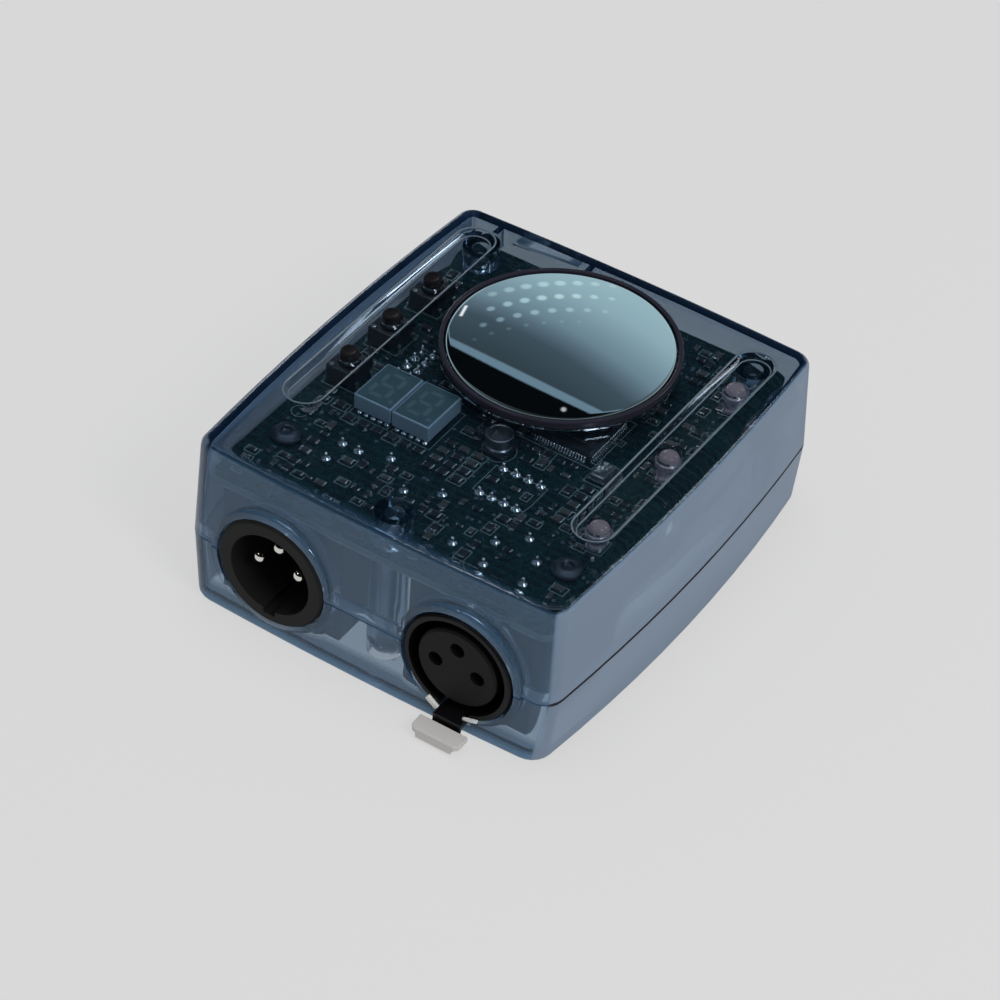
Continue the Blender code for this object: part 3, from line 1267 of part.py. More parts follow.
def make_power_inlet():
    """Round-nosed power inlet under the board, with its pin in the middle of the bore."""
    nose_y = end_wall_y(INLET_X, BOARD_BOTTOM_Z - INLET_AXIS_DROP)
    body_y = end_wall_y(INLET_X + INLET_WIDTH / 2, BOARD_BOTTOM_Z, inset=WALL) - BOARD_GAP
    setback = nose_y - body_y
    at = (INLET_X, nose_y, BOARD_BOTTOM_Z - INLET_AXIS_DROP)
    top = INLET_AXIS_DROP - SEAT_GAP
    bm = bmesh.new()
    add_box(bm, (-INLET_WIDTH / 2, -top, -setback - INLET_DEPTH),
            (INLET_WIDTH / 2, INLET_HEIGHT - top, -setback))
    inlet = piece("power_inlet", bm, black_plastic(), at, REARWARD)
    nose = bmesh.new()
    radius = INLET_NOSE_DIAMETER / 2
    add_turned(nose, [(radius, -setback - OVERLAP), (radius, -INLET_CHAMFER),
                      (radius - INLET_CHAMFER, 0.0)], MEDIUM)
    shape_by(inlet, helper("inlet_nose", nose, at, REARWARD), "UNION")
    bore = bmesh.new()
    radius = INLET_BORE_DIAMETER / 2
    add_turned(bore, [(radius, -INLET_BORE_DEPTH), (radius, CLEAR)], MEDIUM)
    shape_by(inlet, helper("inlet_bore", bore, at, REARWARD), "DIFFERENCE")
    pin = bmesh.new()
    radius = INLET_PIN_DIAMETER / 2
    add_turned(pin, [(radius, SEAT_GAP - INLET_BORE_DEPTH),
                     (radius, -INLET_PIN_SETBACK - INLET_PIN_TIP),
                     (radius - INLET_PIN_TIP, -INLET_PIN_SETBACK)], COARSE)
    piece("power_inlet_pin", pin, plated_contact(), at, REARWARD)


def clear_scene():
    for thing in list(bpy.data.objects):
        bpy.data.objects.remove(thing, do_unlink=True)


def main():
    clear_scene()
    make_lid()
    make_base()
    make_case_screws()
    make_dome()
    make_bezel()
    make_board()
    make_fixing_screws()
    make_male_connector()
    make_female_connector()
    make_latch()
    make_pivot_pin()
    make_latch_spring()
    make_buttons()
    make_lights()
    make_display()
    make_board_parts()
    make_capacitors()
    make_parts_below()
    make_power_inlet()


main()
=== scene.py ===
"""Finishes the wireless lighting controller: shells, cap, sockets, board and stage."""
import json
import math

import bmesh
import bpy
import numpy as np
from mathutils import Matrix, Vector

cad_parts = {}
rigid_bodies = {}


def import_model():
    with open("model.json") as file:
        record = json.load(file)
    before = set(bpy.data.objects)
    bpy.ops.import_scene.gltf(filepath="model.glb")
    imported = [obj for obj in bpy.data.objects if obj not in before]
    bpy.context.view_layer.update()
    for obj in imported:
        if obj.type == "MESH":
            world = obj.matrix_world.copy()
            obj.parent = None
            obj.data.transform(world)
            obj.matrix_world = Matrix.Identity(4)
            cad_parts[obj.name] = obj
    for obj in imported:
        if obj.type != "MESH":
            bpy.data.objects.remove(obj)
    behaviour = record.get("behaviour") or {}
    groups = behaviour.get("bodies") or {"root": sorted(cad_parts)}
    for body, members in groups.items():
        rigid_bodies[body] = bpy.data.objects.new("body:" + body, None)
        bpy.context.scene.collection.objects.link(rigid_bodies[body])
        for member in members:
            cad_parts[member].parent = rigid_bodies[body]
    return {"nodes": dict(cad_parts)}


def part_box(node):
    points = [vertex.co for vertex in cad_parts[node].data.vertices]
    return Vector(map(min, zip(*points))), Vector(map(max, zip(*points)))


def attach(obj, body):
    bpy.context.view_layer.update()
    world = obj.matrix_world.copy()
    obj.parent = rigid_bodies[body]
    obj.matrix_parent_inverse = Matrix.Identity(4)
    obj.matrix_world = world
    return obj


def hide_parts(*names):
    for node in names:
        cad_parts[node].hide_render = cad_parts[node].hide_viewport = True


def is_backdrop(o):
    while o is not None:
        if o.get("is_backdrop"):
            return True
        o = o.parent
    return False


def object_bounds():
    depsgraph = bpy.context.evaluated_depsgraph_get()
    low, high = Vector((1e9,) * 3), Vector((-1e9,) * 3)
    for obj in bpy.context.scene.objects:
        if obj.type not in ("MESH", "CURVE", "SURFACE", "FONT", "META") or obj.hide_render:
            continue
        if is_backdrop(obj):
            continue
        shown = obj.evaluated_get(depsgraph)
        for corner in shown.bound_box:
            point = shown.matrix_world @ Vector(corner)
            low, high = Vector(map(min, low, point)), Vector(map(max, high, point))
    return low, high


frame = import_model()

bl_info = {
    "name": "Lighting Controller Finish",
    "version": (1, 0, 0),
    "blender": (4, 5, 0),
    "location": "3D Viewport > Sidebar > Controller",
    "description": "Builds the finished pieces of a hand-sized lighting controller",
    "category": "Object",
}

MM = 0.001
ROUND = 2 * math.pi

# Doubles closer than this are merged, in new surfaces and in copies of solids
WELD = 1e-7
SOLID_WELD = 2e-6
# Edges sharper than this angle, in degrees, stay sharp
CREASE = 35.0

# Levels in the part: the board's top, the rise of the cap's crown, the joint of the two shells
BOARD_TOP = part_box("processor")[0].z - 0.3 * MM
CROWN_RISE = 3.0 * MM
SEAM_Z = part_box("lid_shell")[0].z - 0.15 * MM

# Parts on the board that small parts keep away from and that have a printed frame
PRINTED = ("processor", "crystal", "display_digit_left", "display_digit_right", "switch_1",
           "switch_2", "switch_3")

# The outer faces of the shells, in metres: each pair is where a share of haze starts and is full
WALL_TOP = (0.0328, 0.0335)
BRIM_TOP = (0.0335, 0.0338)
# The foot's extra haze is painted light: it keeps the wall's foot pale where the floor's shadow
# shows
PAINTED_LIGHT_FOOT_TOP = (0.0012, 0.0034)
SIDE_FACE = (0.0360, 0.0368)
LEFT_FACE = (0.0342, 0.0352)
END_FACE = (0.0392, 0.0402)
SEAM_HALF = (0.00030, 0.00042)
# The side walls' bulge and half of its length, and their slope below and above the joint
SIDE_BULGE = 1.9 * MM
BULGE_REACH = 0.0435
SLOPE_BELOW = 0.153
SLOPE_ABOVE = 0.04

# The photograph's camera: place in metres; azimuth, elevation and roll in degrees; lens and
# sensor in millimetres
CAMERA = np.array([0.24734, -0.41667, 0.43791])
VIEW_ANGLES = (30.7817, 41.4761, 3.956)
FOCAL_LENGTH = 130.877
SENSOR = 36.0

# Four rows of eight soft dots in the cap's reflection: a middle dot's place on the cap and its
# size, in millimetres, and its brightness; the step from dot to dot, and how a row bends and fades
DOT_ROWS = ((-8.7, 13.1, 1.15, 0.24), (-6.2, 8.7, 1.0, 0.34), (-4.7, 4.0, 0.85, 0.24),
            (-3.9, 0.0, 0.5, 0.07))
DOT_STEP = (2.3, 2.15)
ROW_BEND = 0.06
SIZE_FADE = 0.02
LIGHT_FADE = 0.035
# The reflection's brightness at distances along the cap, in millimetres
GLOW_AT = (-12, -5, -1.5, 1, 5, 11, 18)
GLOW = (0.055, 0.085, 0.17, 0.25, 0.32, 0.44, 0.5)


# Sizes and colours that a user may change

def length(name, description, default):
    """A length in metres."""
    return bpy.props.FloatProperty(name=name, description=description, default=default,
                                   min=0.0, subtype="DISTANCE", unit="LENGTH", precision=5)


def share(name, description, default):
    """A number from 0 to 1."""
    return bpy.props.FloatProperty(name=name, description=description, default=default,
                                   min=0.0, max=1.0, subtype="FACTOR")


def number(name, description, default):
    """A plain number of 0 or more."""
    return bpy.props.FloatProperty(name=name, description=description, default=default, min=0.0)


def count(name, description, default):
    """A whole number of 1 or more."""
    return bpy.props.IntProperty(name=name, description=description, default=default, min=1)


def colour(name, description, default):
    """A linear colour."""
    return bpy.props.FloatVectorProperty(name=name, description=description, default=default,
                                         size=3, min=0.0, max=1.0, subtype="COLOR")


class ShellLook(bpy.types.PropertyGroup):
    tint: colour("Tint", "Colour that the smoky plastic lets through", (0.50, 0.62, 0.72))
    density: number("Density", "How strongly a metre of the plastic takes up light", 400.0)
    haze: share("Haze", "Share of the light that the top scatters", 0.004)
    end_haze: share("End haze", "Share of the light that the end walls scatter", 0.17)
    side_haze: share("Side haze", "Share of the light that the side walls scatter", 0.86)
    left_haze: share("Left haze", "Share of the light that the left wall scatters", 0.50)
    rear_haze: share("Rear haze", "Share of the light that the rear wall scatters", 0.30)
    # Painted light: the foot's extra haze keeps it pale where the floor's shadow would show through
    foot_painted_light: share("Foot haze", "Share of the light that the foot of the walls scatters", 0.60)
    haze_colour: colour("Haze colour", "Colour of the scattered light", (0.19, 0.26, 0.36))
    end_colour: colour("End colour", "Colour that the end walls scatter", (0.13, 0.27, 0.43))
    seam_colour: colour("Seam", "Dark joint of the halves, on the sides", (0.012, 0.016, 0.028))
    roughness: share("Roughness", "Roughness of the moulded skin", 0.03)


class CapLook(bpy.types.PropertyGroup):
    mirror: colour("Mirror", "Colour of the cap's reflection", (0.86, 0.90, 0.92))
    rim: length("Rim", "Rounding of the cap's edge", 0.35 * MM)
    ring: colour("Ring", "Colour of the ring round the cap", (0.020, 0.020, 0.032))


class SocketLook(bpy.types.PropertyGroup):
    charcoal: colour("Charcoal", "Plastic of the socket with pins", (0.012, 0.012, 0.012))
    black: colour("Black", "Plastic of the socket with holes and its latch", (0.004, 0.004, 0.005))
    insert: colour("Insert", "Plastic of the round insert", (0.0075, 0.0068, 0.0075))
    plating: colour("Plating", "Colour of the plated pins", (0.82, 0.80, 0.74))
    pin_tip: length("Pin tip", "Height of a pin's domed tip", 0.95 * MM)
    # The clips' pale tone is partly their metal and partly a painted glint
    clip: colour("Clips", "Bright skin of the two clips beside the latch", (0.74, 0.75, 0.73))
    # The tab's pale tone is partly its satin metal and partly a painted reflection of the pale
    # floor
    tab: colour("Tab", "Pale satin skin of the latch's thumb tab", (0.56, 0.54, 0.53))


class BoardLook(bpy.types.PropertyGroup):
    mask: colour("Solder mask", "Lacquer on the circuit board", (0.002, 0.011, 0.012))
    track: colour("Track", "Lacquer over copper", (0.004, 0.024, 0.025))
    edge: colour("Edge", "Cut edge of the glass-fibre board", (0.085, 0.13, 0.13))
    print_colour: colour("Print", "Pale print round the parts", (0.22, 0.28, 0.28))
    solder: colour("Solder", "Colour of the solder", (0.88, 0.90, 0.93))
    chip: colour("Chip", "Moulded body of a chip", (0.012, 0.012, 0.014))
    ceramic: colour("Ceramic", "Body of a small ceramic capacitor", (0.055, 0.052, 0.046))
    face: colour("Display face", "Face of the two digits", (0.065, 0.115, 0.120))
    segment: colour("Segment", "Unlit segments of the digits", (0.11, 0.17, 0.175))
    side: colour("Display side", "Moulded sides of the digits", (0.32, 0.41, 0.47))
    parts: count("Small parts", "Columns of the grid on which small parts are strewn", 26)


class TopLook(bpy.types.PropertyGroup):
    button: colour("Button", "Rubber-like top of the push buttons", (0.006, 0.006, 0.008))
    lens: colour("Lens", "Colour that the light domes let through", (0.60, 0.58, 0.70))
    milk: share("Milk", "Share of the light that the light domes scatter", 0.45)
    # The lips' pale colour is a painted highlight along the pockets' rims, on top of their real
    # gloss
    lip: colour("Lip", "Polished lips of the two pockets", (0.11, 0.15, 0.19))
    steel: colour("Steel", "Plated steel of screws and clips", (0.50, 0.51, 0.53))
    dark_steel: colour("Dark steel", "Blackened steel of the short screws", (0.09, 0.10, 0.12))


class StageLook(bpy.types.PropertyGroup):
    floor: colour("Floor", "Pale floor and backdrop", (0.70, 0.70, 0.70))
    key: number("Key lamp", "Power of the lamp on the right in watts", 3.2)
    top: number("Top lamp", "Power of the lamp overhead in watts", 6.2)
    fill: number("Fill", "Strength of the light from all around", 0.30)
    panel: number("Panel", "Brightness of the panel that the cap reflects", 1.0)
    rim: number("Rim lamps", "Brightness of the lamps that only show as highlights", 3.6)
    plain: share("Plain floor", "Share of the floor's tone that no shadow touches", 0.80)


LOOKS = {"shell_look": ShellLook, "cap_look": CapLook, "socket_look": SocketLook,
         "board_look": BoardLook, "top_look": TopLook, "stage_look": StageLook}


# Shader arithmetic

class Signal:
    """An output of a node. Arithmetic on it adds Math nodes to the same tree."""

    def __init__(self, tree, socket=None):
        self.tree = tree
        self.socket = socket

    def node(self, kind, settings=None, inputs=None, output=0):
        """Adds a node: its settings first, then the value or link of each input."""
        made = self.tree.nodes.new(kind)
        for name, value in (settings or {}).items():
            if name == "stops":
                while len(made.color_ramp.elements) < len(value):
                    made.color_ramp.elements.new(0.5)
                for element, (position, shade) in zip(made.color_ramp.elements, value):
                    element.position = position
                    element.color = (*shade, 1.0)
            else:
                setattr(made, name, value)
        for name, value in (inputs or {}).items():
            if isinstance(value, Signal):
                self.tree.links.new(value.socket, made.inputs[name])
            elif hasattr(value, "__len__") and len(value) < len(made.inputs[name].default_value):
                made.inputs[name].default_value = (*value, 1.0)
            else:
                made.inputs[name].default_value = value
        return Signal(self.tree, made.outputs[output])

    def math(self, operation, *values):
        return self.node("ShaderNodeMath", {"operation": operation}, dict(enumerate(values)))

    def __add__(self, other):
        return self.math("ADD", self, other)

    def __sub__(self, other):
        return self.math("SUBTRACT", self, other)

    def __rsub__(self, other):
        return self.math("SUBTRACT", other, self)

    def __mul__(self, other):
        return self.math("MULTIPLY", self, other)

    def __gt__(self, other):
        return self.math("GREATER_THAN", self, other)

    __radd__ = __add__
    __rmul__ = __mul__


def material(name):
    """A new material without nodes, and the signal that starts its tree."""
    made = bpy.data.materials.new(name)
    made.use_nodes = True
    made.node_tree.nodes.clear()
    return made, Signal(made.node_tree)


def finished(start, shader, volume=None):
    """Links a shader, and a volume if there is one, to the material's output."""
    output = start.tree.nodes.new("ShaderNodeOutputMaterial")
    start.tree.links.new(shader.socket, output.inputs["Surface"])
    if volume is not None:
        start.tree.links.new(volume.socket, output.inputs["Volume"])


def position(start):
    """Object coordinates, in metres."""
    return start.node("ShaderNodeTexCoord", output="Object")


def noise(start, where, scale, detail=2.0):
    """Cloudy noise from 0 to 1 with about scale / 1000 bumps to the millimetre."""
    return start.node("ShaderNodeTexNoise",
                      inputs={"Vector": where, "Scale": scale, "Detail": detail}, output="Fac")


def blend(start, factor, first, second):
    """A colour between two colours."""
    return start.node("ShaderNodeMix", {"data_type": "RGBA"}, {0: factor, 6: first, 7: second}, 2)


def mixed(start, factor, first, second):
    """A shader between two shaders."""
    return start.node("ShaderNodeMixShader", inputs={0: factor, 1: first, 2: second})


def ray(start, kind):
    """1 for light paths of a kind, such as Shadow or Glossy, and 0 for the others."""
    return start.node("ShaderNodeLightPath", output=f"Is {kind} Ray")


def relief(start, height, depth, strength):
    """A normal bent by a height signal."""
    return start.node("ShaderNodeBump", inputs={"Height": height, "Distance": depth,
                                                "Strength": strength}, output="Normal")


def principled(start, **inputs):
    """A Principled shader with the given sockets, underscores standing for spaces."""
    named = {name.replace("_", " "): value for name, value in inputs.items()}
    return start.node("ShaderNodeBsdfPrincipled", inputs=named)


def darker(shade, factor):
    """A colour times a factor."""
    return tuple(factor * part for part in shade)


def moulded(name, shade, roughness=0.4, grain=900.0, depth=0.02 * MM, spread=0.25, shine=0.5):
    """Moulded plastic: its shade and gloss drift a little, and its skin has a fine grain."""
    made, start = material(name)
    where = position(start)
    drift = noise(start, where, grain / 6)
    fine = noise(start, where, grain * 4, 3.0)
    tone = blend(start, drift, darker(shade, 1 - spread), darker(shade, 1 + spread))
    shader = principled(start, Base_Color=tone, Roughness=drift * 0.12 + (roughness - 0.06),
                        Normal=relief(start, fine, depth, 0.35), Specular_IOR_Level=shine)
    finished(start, shader)
    return made


def plated(name, shade, roughness=0.22, scratches=1500.0):
    """Plated metal with cloudy gloss and fine rubbing marks."""
    made, start = material(name)
    where = position(start)
    cloud = noise(start, where, scratches / 3)
    rubbed = noise(start, where, scratches * 3, 3.0)
    tone = blend(start, cloud, darker(shade, 0.86), shade)
    shader = principled(start, Base_Color=tone, Metallic=1.0,
                        Roughness=cloud * 0.14 + (roughness - 0.07),
                        Normal=relief(start, rubbed, 0.01 * MM, 0.3))
    finished(start, shader)
    return made


def ramp(start, signal, low, high):
    """0 below low and 1 above high, eased between them."""
    return start.node("ShaderNodeMapRange", {"interpolation_type": "SMOOTHSTEP"},
                      {"Value": signal, "From Min": low, "From Max": high}, "Result")


def wall_haze(start, where, look):
    """Share of scattered light, and how much of it is dark joint and grey wall. The top is clear.
    The outer faces of the side walls scatter most: those are where |x| + slope - bulge passes
    36 mm, with bulge = 1.9 (1 - (y / 43.5)^2) mm and slope rising by 0.153 mm for a mm below the
    joint and by 0.04 mm above it. The end walls scatter a little, and the foot of all walls more:
    that extra haze is painted light, a pale foot where the floor's shadow would show through.
    The left and the rear wall scatter in their inner part too, up to the brim."""
    across, along, height = (start.node("ShaderNodeSeparateXYZ", inputs={0: where}, output=axis)
                             for axis in "XYZ")

    def largest(one, *others):
        for other in others:
            one = start.math("MAXIMUM", one, other)
        return one

    under = SEAM_Z - height
    slope = largest(under * SLOPE_BELOW, under * -SLOPE_ABOVE)
    far = along * (1 / BULGE_REACH)
    out = start.math("ABSOLUTE", across) + slope + far * far * SIDE_BULGE - SIDE_BULGE
    wall = 1 - ramp(start, height, *WALL_TOP)
    side = ramp(start, out, *SIDE_FACE) * wall
    end = ramp(start, start.math("ABSOLUTE", along), *END_FACE) * wall
    # Painted light: more haze at the foot keeps it pale where the floor's shadow would show through
    foot = (1 - ramp(start, height, *PAINTED_LIGHT_FOOT_TOP)) * largest(side, end)
    seam = side * (1 - ramp(start, start.math("ABSOLUTE", under), *SEAM_HALF))
    brim = 1 - ramp(start, height, *BRIM_TOP)
    left = ramp(start, across * -1.0, *LEFT_FACE) * brim
    rear = ramp(start, along, *END_FACE) * brim
    haze = largest(side * look.side_haze, end * look.end_haze, left * look.left_haze,
                   rear * look.rear_haze, foot * look.foot_painted_light) + look.haze
    return largest(haze, seam), seam, largest(side, left, rear)


def smoky_plastic(look):
    """Clear tinted plastic: it bends what is seen through it, and lamps and soft light pass it."""
    made, start = material("smoky_case")
    where = position(start)
    cloud = noise(start, where, 60.0)
    glass = principled(start, Base_Color=(1.0, 1.0, 1.0), Transmission_Weight=1.0, IOR=1.49,
                       Roughness=cloud * 0.02 + look.roughness,
                       Specular_Tint=(0.6, 0.62, 0.7, 1.0))
    haze, seam, grey = wall_haze(start, where, look)
    pale = blend(start, cloud, darker(look.haze_colour, 0.92), tuple(look.haze_colour))
    pale = blend(start, grey, tuple(look.end_colour), pale)
    milk = principled(start, Base_Color=blend(start, seam, pale, tuple(look.seam_colour)),
                      Roughness=0.6)
    clear = start.node("ShaderNodeBsdfTransparent", inputs={"Color": (0.95, 0.96, 0.97)})
    passing = start.math("MAXIMUM", ray(start, "Shadow"), ray(start, "Diffuse"))
    volume = start.node("ShaderNodeVolumeAbsorption",
                        inputs={"Color": tuple(look.tint), "Density": look.density})
    finished(start, mixed(start, passing, mixed(start, haze, glass, milk), clear), volume)
    return made


def mirror_plastic(look):
    """Mirror-bright skin of the cap, with a faint drift in its gloss."""
    made, start = material("mirror_cap")
    where = position(start)
    cloud = noise(start, where, 90.0)
    tone = blend(start, cloud, darker(look.mirror, 0.97), tuple(look.mirror))
    finished(start, principled(start, Base_Color=tone, Metallic=1.0,
                               Roughness=cloud * 0.015 + 0.01))
    return made


def board_lacquer(look):
    """Dark green lacquer, paler over the copper tracks and pours."""
    made, start = material("board_lacquer")
    where = position(start)
    bricks = start.node("ShaderNodeTexBrick", {"offset": 0.5, "squash": 0.7},
                        {"Vector": where, "Scale": 180.0, "Mortar Size": 0.055, "Row Height": 0.33,
                         "Brick Width": 1.3}, output="Fac")
    copper = start.node("ShaderNodeTexVoronoi", {"feature": "DISTANCE_TO_EDGE"},
                        {"Vector": where, "Scale": 110.0}, output="Distance")
    poured = copper > 0.18
    tracks = start.math("MAXIMUM", bricks, poured * 0.55)
    tone = blend(start, tracks, tuple(look.mask), tuple(look.track))
    cloud = noise(start, where, 700.0)
    finished(start, principled(start, Base_Color=tone, Roughness=cloud * 0.1 + 0.22,
                               Normal=relief(start, tracks, 0.01 * MM, 0.2),
                               Specular_IOR_Level=0.3))
    return made


def fibre_edge(look):
    """Cut edge of the board: fine layers of pale glass fibre."""
    made, start = material("board_edge")
    where = position(start)
    layers = start.node("ShaderNodeTexWave", {"bands_direction": "Z"},
                        {"Vector": where, "Scale": 1400.0, "Distortion": 0.2}, output="Fac")
    tone = blend(start, layers, darker(look.edge, 0.82), tuple(look.edge))
    finished(start, principled(start, Base_Color=tone, Roughness=0.55))
    return made


def clear_lens(look):
    """Milky moulded lens that lamps pass."""
    made, start = material("clear_lens")
    where = position(start)
    cloud = noise(start, where, 400.0)
    glass = principled(start, Base_Color=tuple(look.lens), Transmission_Weight=1.0, IOR=1.45,
                       Roughness=cloud * 0.08 + 0.12)
    milk = principled(start, Base_Color=darker(look.lens, 0.28), Roughness=0.3)
    clear = start.node("ShaderNodeBsdfTransparent", inputs={"Color": tuple(look.lens)})
    finished(start, mixed(start, ray(start, "Shadow"), mixed(start, look.milk, glass, milk), clear))
    return made


def plain_print(look):
    """Pale print, a little worn."""
    made, start = material("pale_print")
    where = position(start)
    worn = noise(start, where, 2500.0)
    tone = blend(start, worn, darker(look.print_colour, 0.6), tuple(look.print_colour))
    finished(start, principled(start, Base_Color=tone, Roughness=0.5))
    return made


# Surfaces as arrays of points

def grid_quads(rows, columns, loop):
    """Quads of a grid whose columns go round; with loop its rows go round too."""
    row = np.arange(rows if loop else rows - 1)[:, None]
    column = np.arange(columns)[None, :]
    right = (column + 1) % columns
    above = (row + 1) % rows
    corners = (row * columns + column, row * columns + right, above * columns + right,
               above * columns + column)
    return np.stack(corners, -1).reshape(-1, 4)


def mesh_of(name, *grids, loop=False):
    """One mesh of closed surfaces. A grid is (rows, columns, 3), or (pieces, rows, columns, 3) for
    like pieces. Its columns go round. Its first and last row are each closed by a face, which
    vanishes where the row is a pole; with loop its rows go round instead."""
    points, faces, first = [], [], 0
    for grid in grids:
        grid = grid.reshape(-1, *grid.shape[-3:])
        pieces, rows, columns = grid.shape[:3]
        starts = first + np.arange(pieces)[:, None, None] * rows * columns
        faces += (starts + grid_quads(rows, columns, loop)).reshape(-1, 4).tolist()
        if not loop:
            ring = np.arange(columns)
            ends = np.stack([ring[::-1], ring + (rows - 1) * columns])
            faces += (starts + ends).reshape(-1, columns).tolist()
        points.append(grid.reshape(-1, 3))
        first += pieces * rows * columns
    mesh = bpy.data.meshes.new(name)
    mesh.from_pydata(np.concatenate(points), [], faces)
    return mesh


def rounded(corners, cut, steps=3, loop=False):
    """A line whose corners P are eased: (1-t)^2 A + 2t(1-t) P + t^2 B for t from 0 to 1, where A
    and B lie on the sides next to P, cut away from it, or less than half of a short side."""
    corners = np.asarray(corners, float)
    back = np.roll(corners, 1, 0) - corners
    ahead = np.roll(corners, -1, 0) - corners
    back_length = np.linalg.norm(back, axis=1, keepdims=True)
    ahead_length = np.linalg.norm(ahead, axis=1, keepdims=True)
    start = corners + back * np.minimum(cut / back_length, 0.45)
    stop = corners + ahead * np.minimum(cut / ahead_length, 0.45)
    t = np.linspace(0, 1, steps + 1)[None, :, None]
    eased = ((1 - t) ** 2 * start[:, None] + 2 * t * (1 - t) * corners[:, None]
             + t ** 2 * stop[:, None])
    if loop:
        return eased.reshape(-1, corners.shape[1])
    inner = eased[1:-1].reshape(-1, corners.shape[1])
    return np.concatenate([corners[:1], inner, corners[-1:]])


def turned(profile, steps):
    """Point (i, j) is (r cos a, r sin a, h), with (r, h) the profile's point i and a = 2 pi j /
    steps."""
    profile = np.asarray(profile, float)
    angle = np.arange(steps) * ROUND / steps
    radius, height = profile[:, :1], profile[:, 1:]
    return np.stack([radius * np.cos(angle), radius * np.sin(angle),
                     np.broadcast_to(height, (len(profile), steps))], -1)


def forward(points):
    """Turns points so that their Z axis points to the front, along -Y."""
    return points[..., [0, 2, 1]] * (1, -1, 1)


def repeated(points, places):
    """The same grid at each place."""
    return np.asarray(points)[None] + np.asarray(places, float)[:, None, None, :]


def blocks(centres, halves, edge, turns=0.0, steps=2):
    """Rounded blocks. Point (v, u) is s (half - edge) + edge n, where n is the unit vector at
    latitude v and longitude u, and s holds the signs of its three parts. Each quarter turn keeps
    its sign at both ends, so flat faces join the rounded edges. Then the block turns about Z."""
    centres = np.atleast_2d(np.asarray(centres, float))
    halves = np.broadcast_to(np.asarray(halves, float), centres.shape)
    turns = np.broadcast_to(np.asarray(turns, float), centres.shape[:1])
    quarter = np.linspace(0, math.pi / 2, steps + 1)
    u = (np.arange(4)[:, None] * math.pi / 2 + quarter).ravel()
    sign_u = (np.arange(4)[:, None] * math.pi / 2 + math.pi / 4 + 0 * quarter).ravel()
    v = np.concatenate([quarter - math.pi / 2, quarter])
    sign_v = np.repeat([-1.0, 1.0], steps + 1)
    normal = np.stack([np.cos(v)[:, None] * np.cos(u), np.cos(v)[:, None] * np.sin(u),
                       np.sin(v)[:, None] + 0 * u], -1)
    signs = np.stack(np.broadcast_arrays(np.sign(np.cos(sign_u)), np.sign(np.sin(sign_u)),
                                         sign_v[:, None]), -1)
    edge = np.minimum(edge, halves.min(1) * 0.9)[:, None, None, None]
    local = signs * (halves[:, None, None, :] - edge) + edge * normal
    cosine, sine = np.cos(turns)[:, None, None], np.sin(turns)[:, None, None]
    x = local[..., 0] * cosine - local[..., 1] * sine
    y = local[..., 0] * sine + local[..., 1] * cosine
    return np.stack([x, y, local[..., 2]], -1) + centres[:, None, None, :]


def carried(section, path, upright):
    """A closed section carried along a path. Point (i, j) is P_i + a_j S_i + b_j U_i, with (a, b)
    the section, S the cross product of the path's direction and upright, and U square to both."""
    path = np.asarray(path, float)
    section = np.asarray(section, float)
    direction = np.gradient(path, axis=0)
    direction /= np.linalg.norm(direction, axis=1, keepdims=True)
    side = np.cross(direction, upright)
    side /= np.linalg.norm(side, axis=1, keepdims=True)
    up = np.cross(side, direction)
    return (path[:, None] + section[None, :, :1] * side[:, None]
            + section[None, :, 1:] * up[:, None])


def spun(points, places, turns):
    """Copies of a grid, each turned about Z and set at its place."""
    turns = np.asarray(turns, float)[:, None, None]
    x = points[..., 0] * np.cos(turns) - points[..., 1] * np.sin(turns)
    y = points[..., 0] * np.sin(turns) + points[..., 1] * np.cos(turns)
    z = np.broadcast_to(points[..., 2], x.shape)
    return np.stack([x, y, z], -1) + np.asarray(places, float)[:, None, None, :]


def plates(outline, centres, thickness, turns=0.0):
    """Flat plates: the outline (x, y) turned about Z, at the two levels z and z + thickness."""
    outline = np.asarray(outline, float)
    centres = np.atleast_2d(np.asarray(centres, float))
    turns = np.broadcast_to(np.asarray(turns, float), centres.shape[:1])
    flat = np.stack([outline[:, 0], outline[:, 1], 0 * outline[:, 0]], -1)
    both = np.stack([flat, flat + (0, 0, thickness)])
    return spun(both, centres, turns)


def rectangle(half_wide, half_high):
    """Outline of a rectangle round the origin."""
    return np.array([(-1, -1), (1, -1), (1, 1), (-1, 1)]) * (half_wide, half_high)


def sector(radius, part):
    """Outline of a circle's left part, cut where x is above -part / 2 of its radius."""
    limit = math.acos(part / 2)
    angle = np.linspace(math.pi - limit, math.pi + limit, 24)
    return np.stack([radius * np.cos(angle), radius * np.sin(angle)], -1)


# Places on the circuit board

def on_board(places):
    """Places (x, y) with the level of the board's top as their z."""
    return np.concatenate([places, np.full((len(places), 1), BOARD_TOP)], 1)


def lead_places():
    """Ends of the leads that are soldered on top of the board."""
    driver, male, female = middle("line_driver"), middle("male_housing"), middle("female_housing")
    pitch = 2.54 * MM
    column = np.repeat((np.arange(4) - 1.5) * pitch, 2) + driver[0]
    row = np.tile([1.5 * pitch, -1.5 * pitch], 4) + driver[1]
    header = np.stack(np.meshgrid([-23.2, -20.66], -0.6 + 2.54 * np.arange(4)), -1)
    left = np.array([(-0.85, -22.1), (2.55, -22.1), (-0.85, -27.0)]) * MM + (male[0], 0)
    right = np.array([(-4.2, -27.5), (0.0, -23.3), (4.2, -27.5)]) * MM + (female[0], 0)
    strewn = np.array([(16.5, -33.2), (24.5, -33.3), (9.4, -31.9), (1.2, -22.8), (-11.2, -20.3),
                       (-4.6, -26.0)]) * MM
    return on_board(np.concatenate([np.stack([column, row], -1), header.reshape(-1, 2) * MM, left,
                                    right, strewn]))


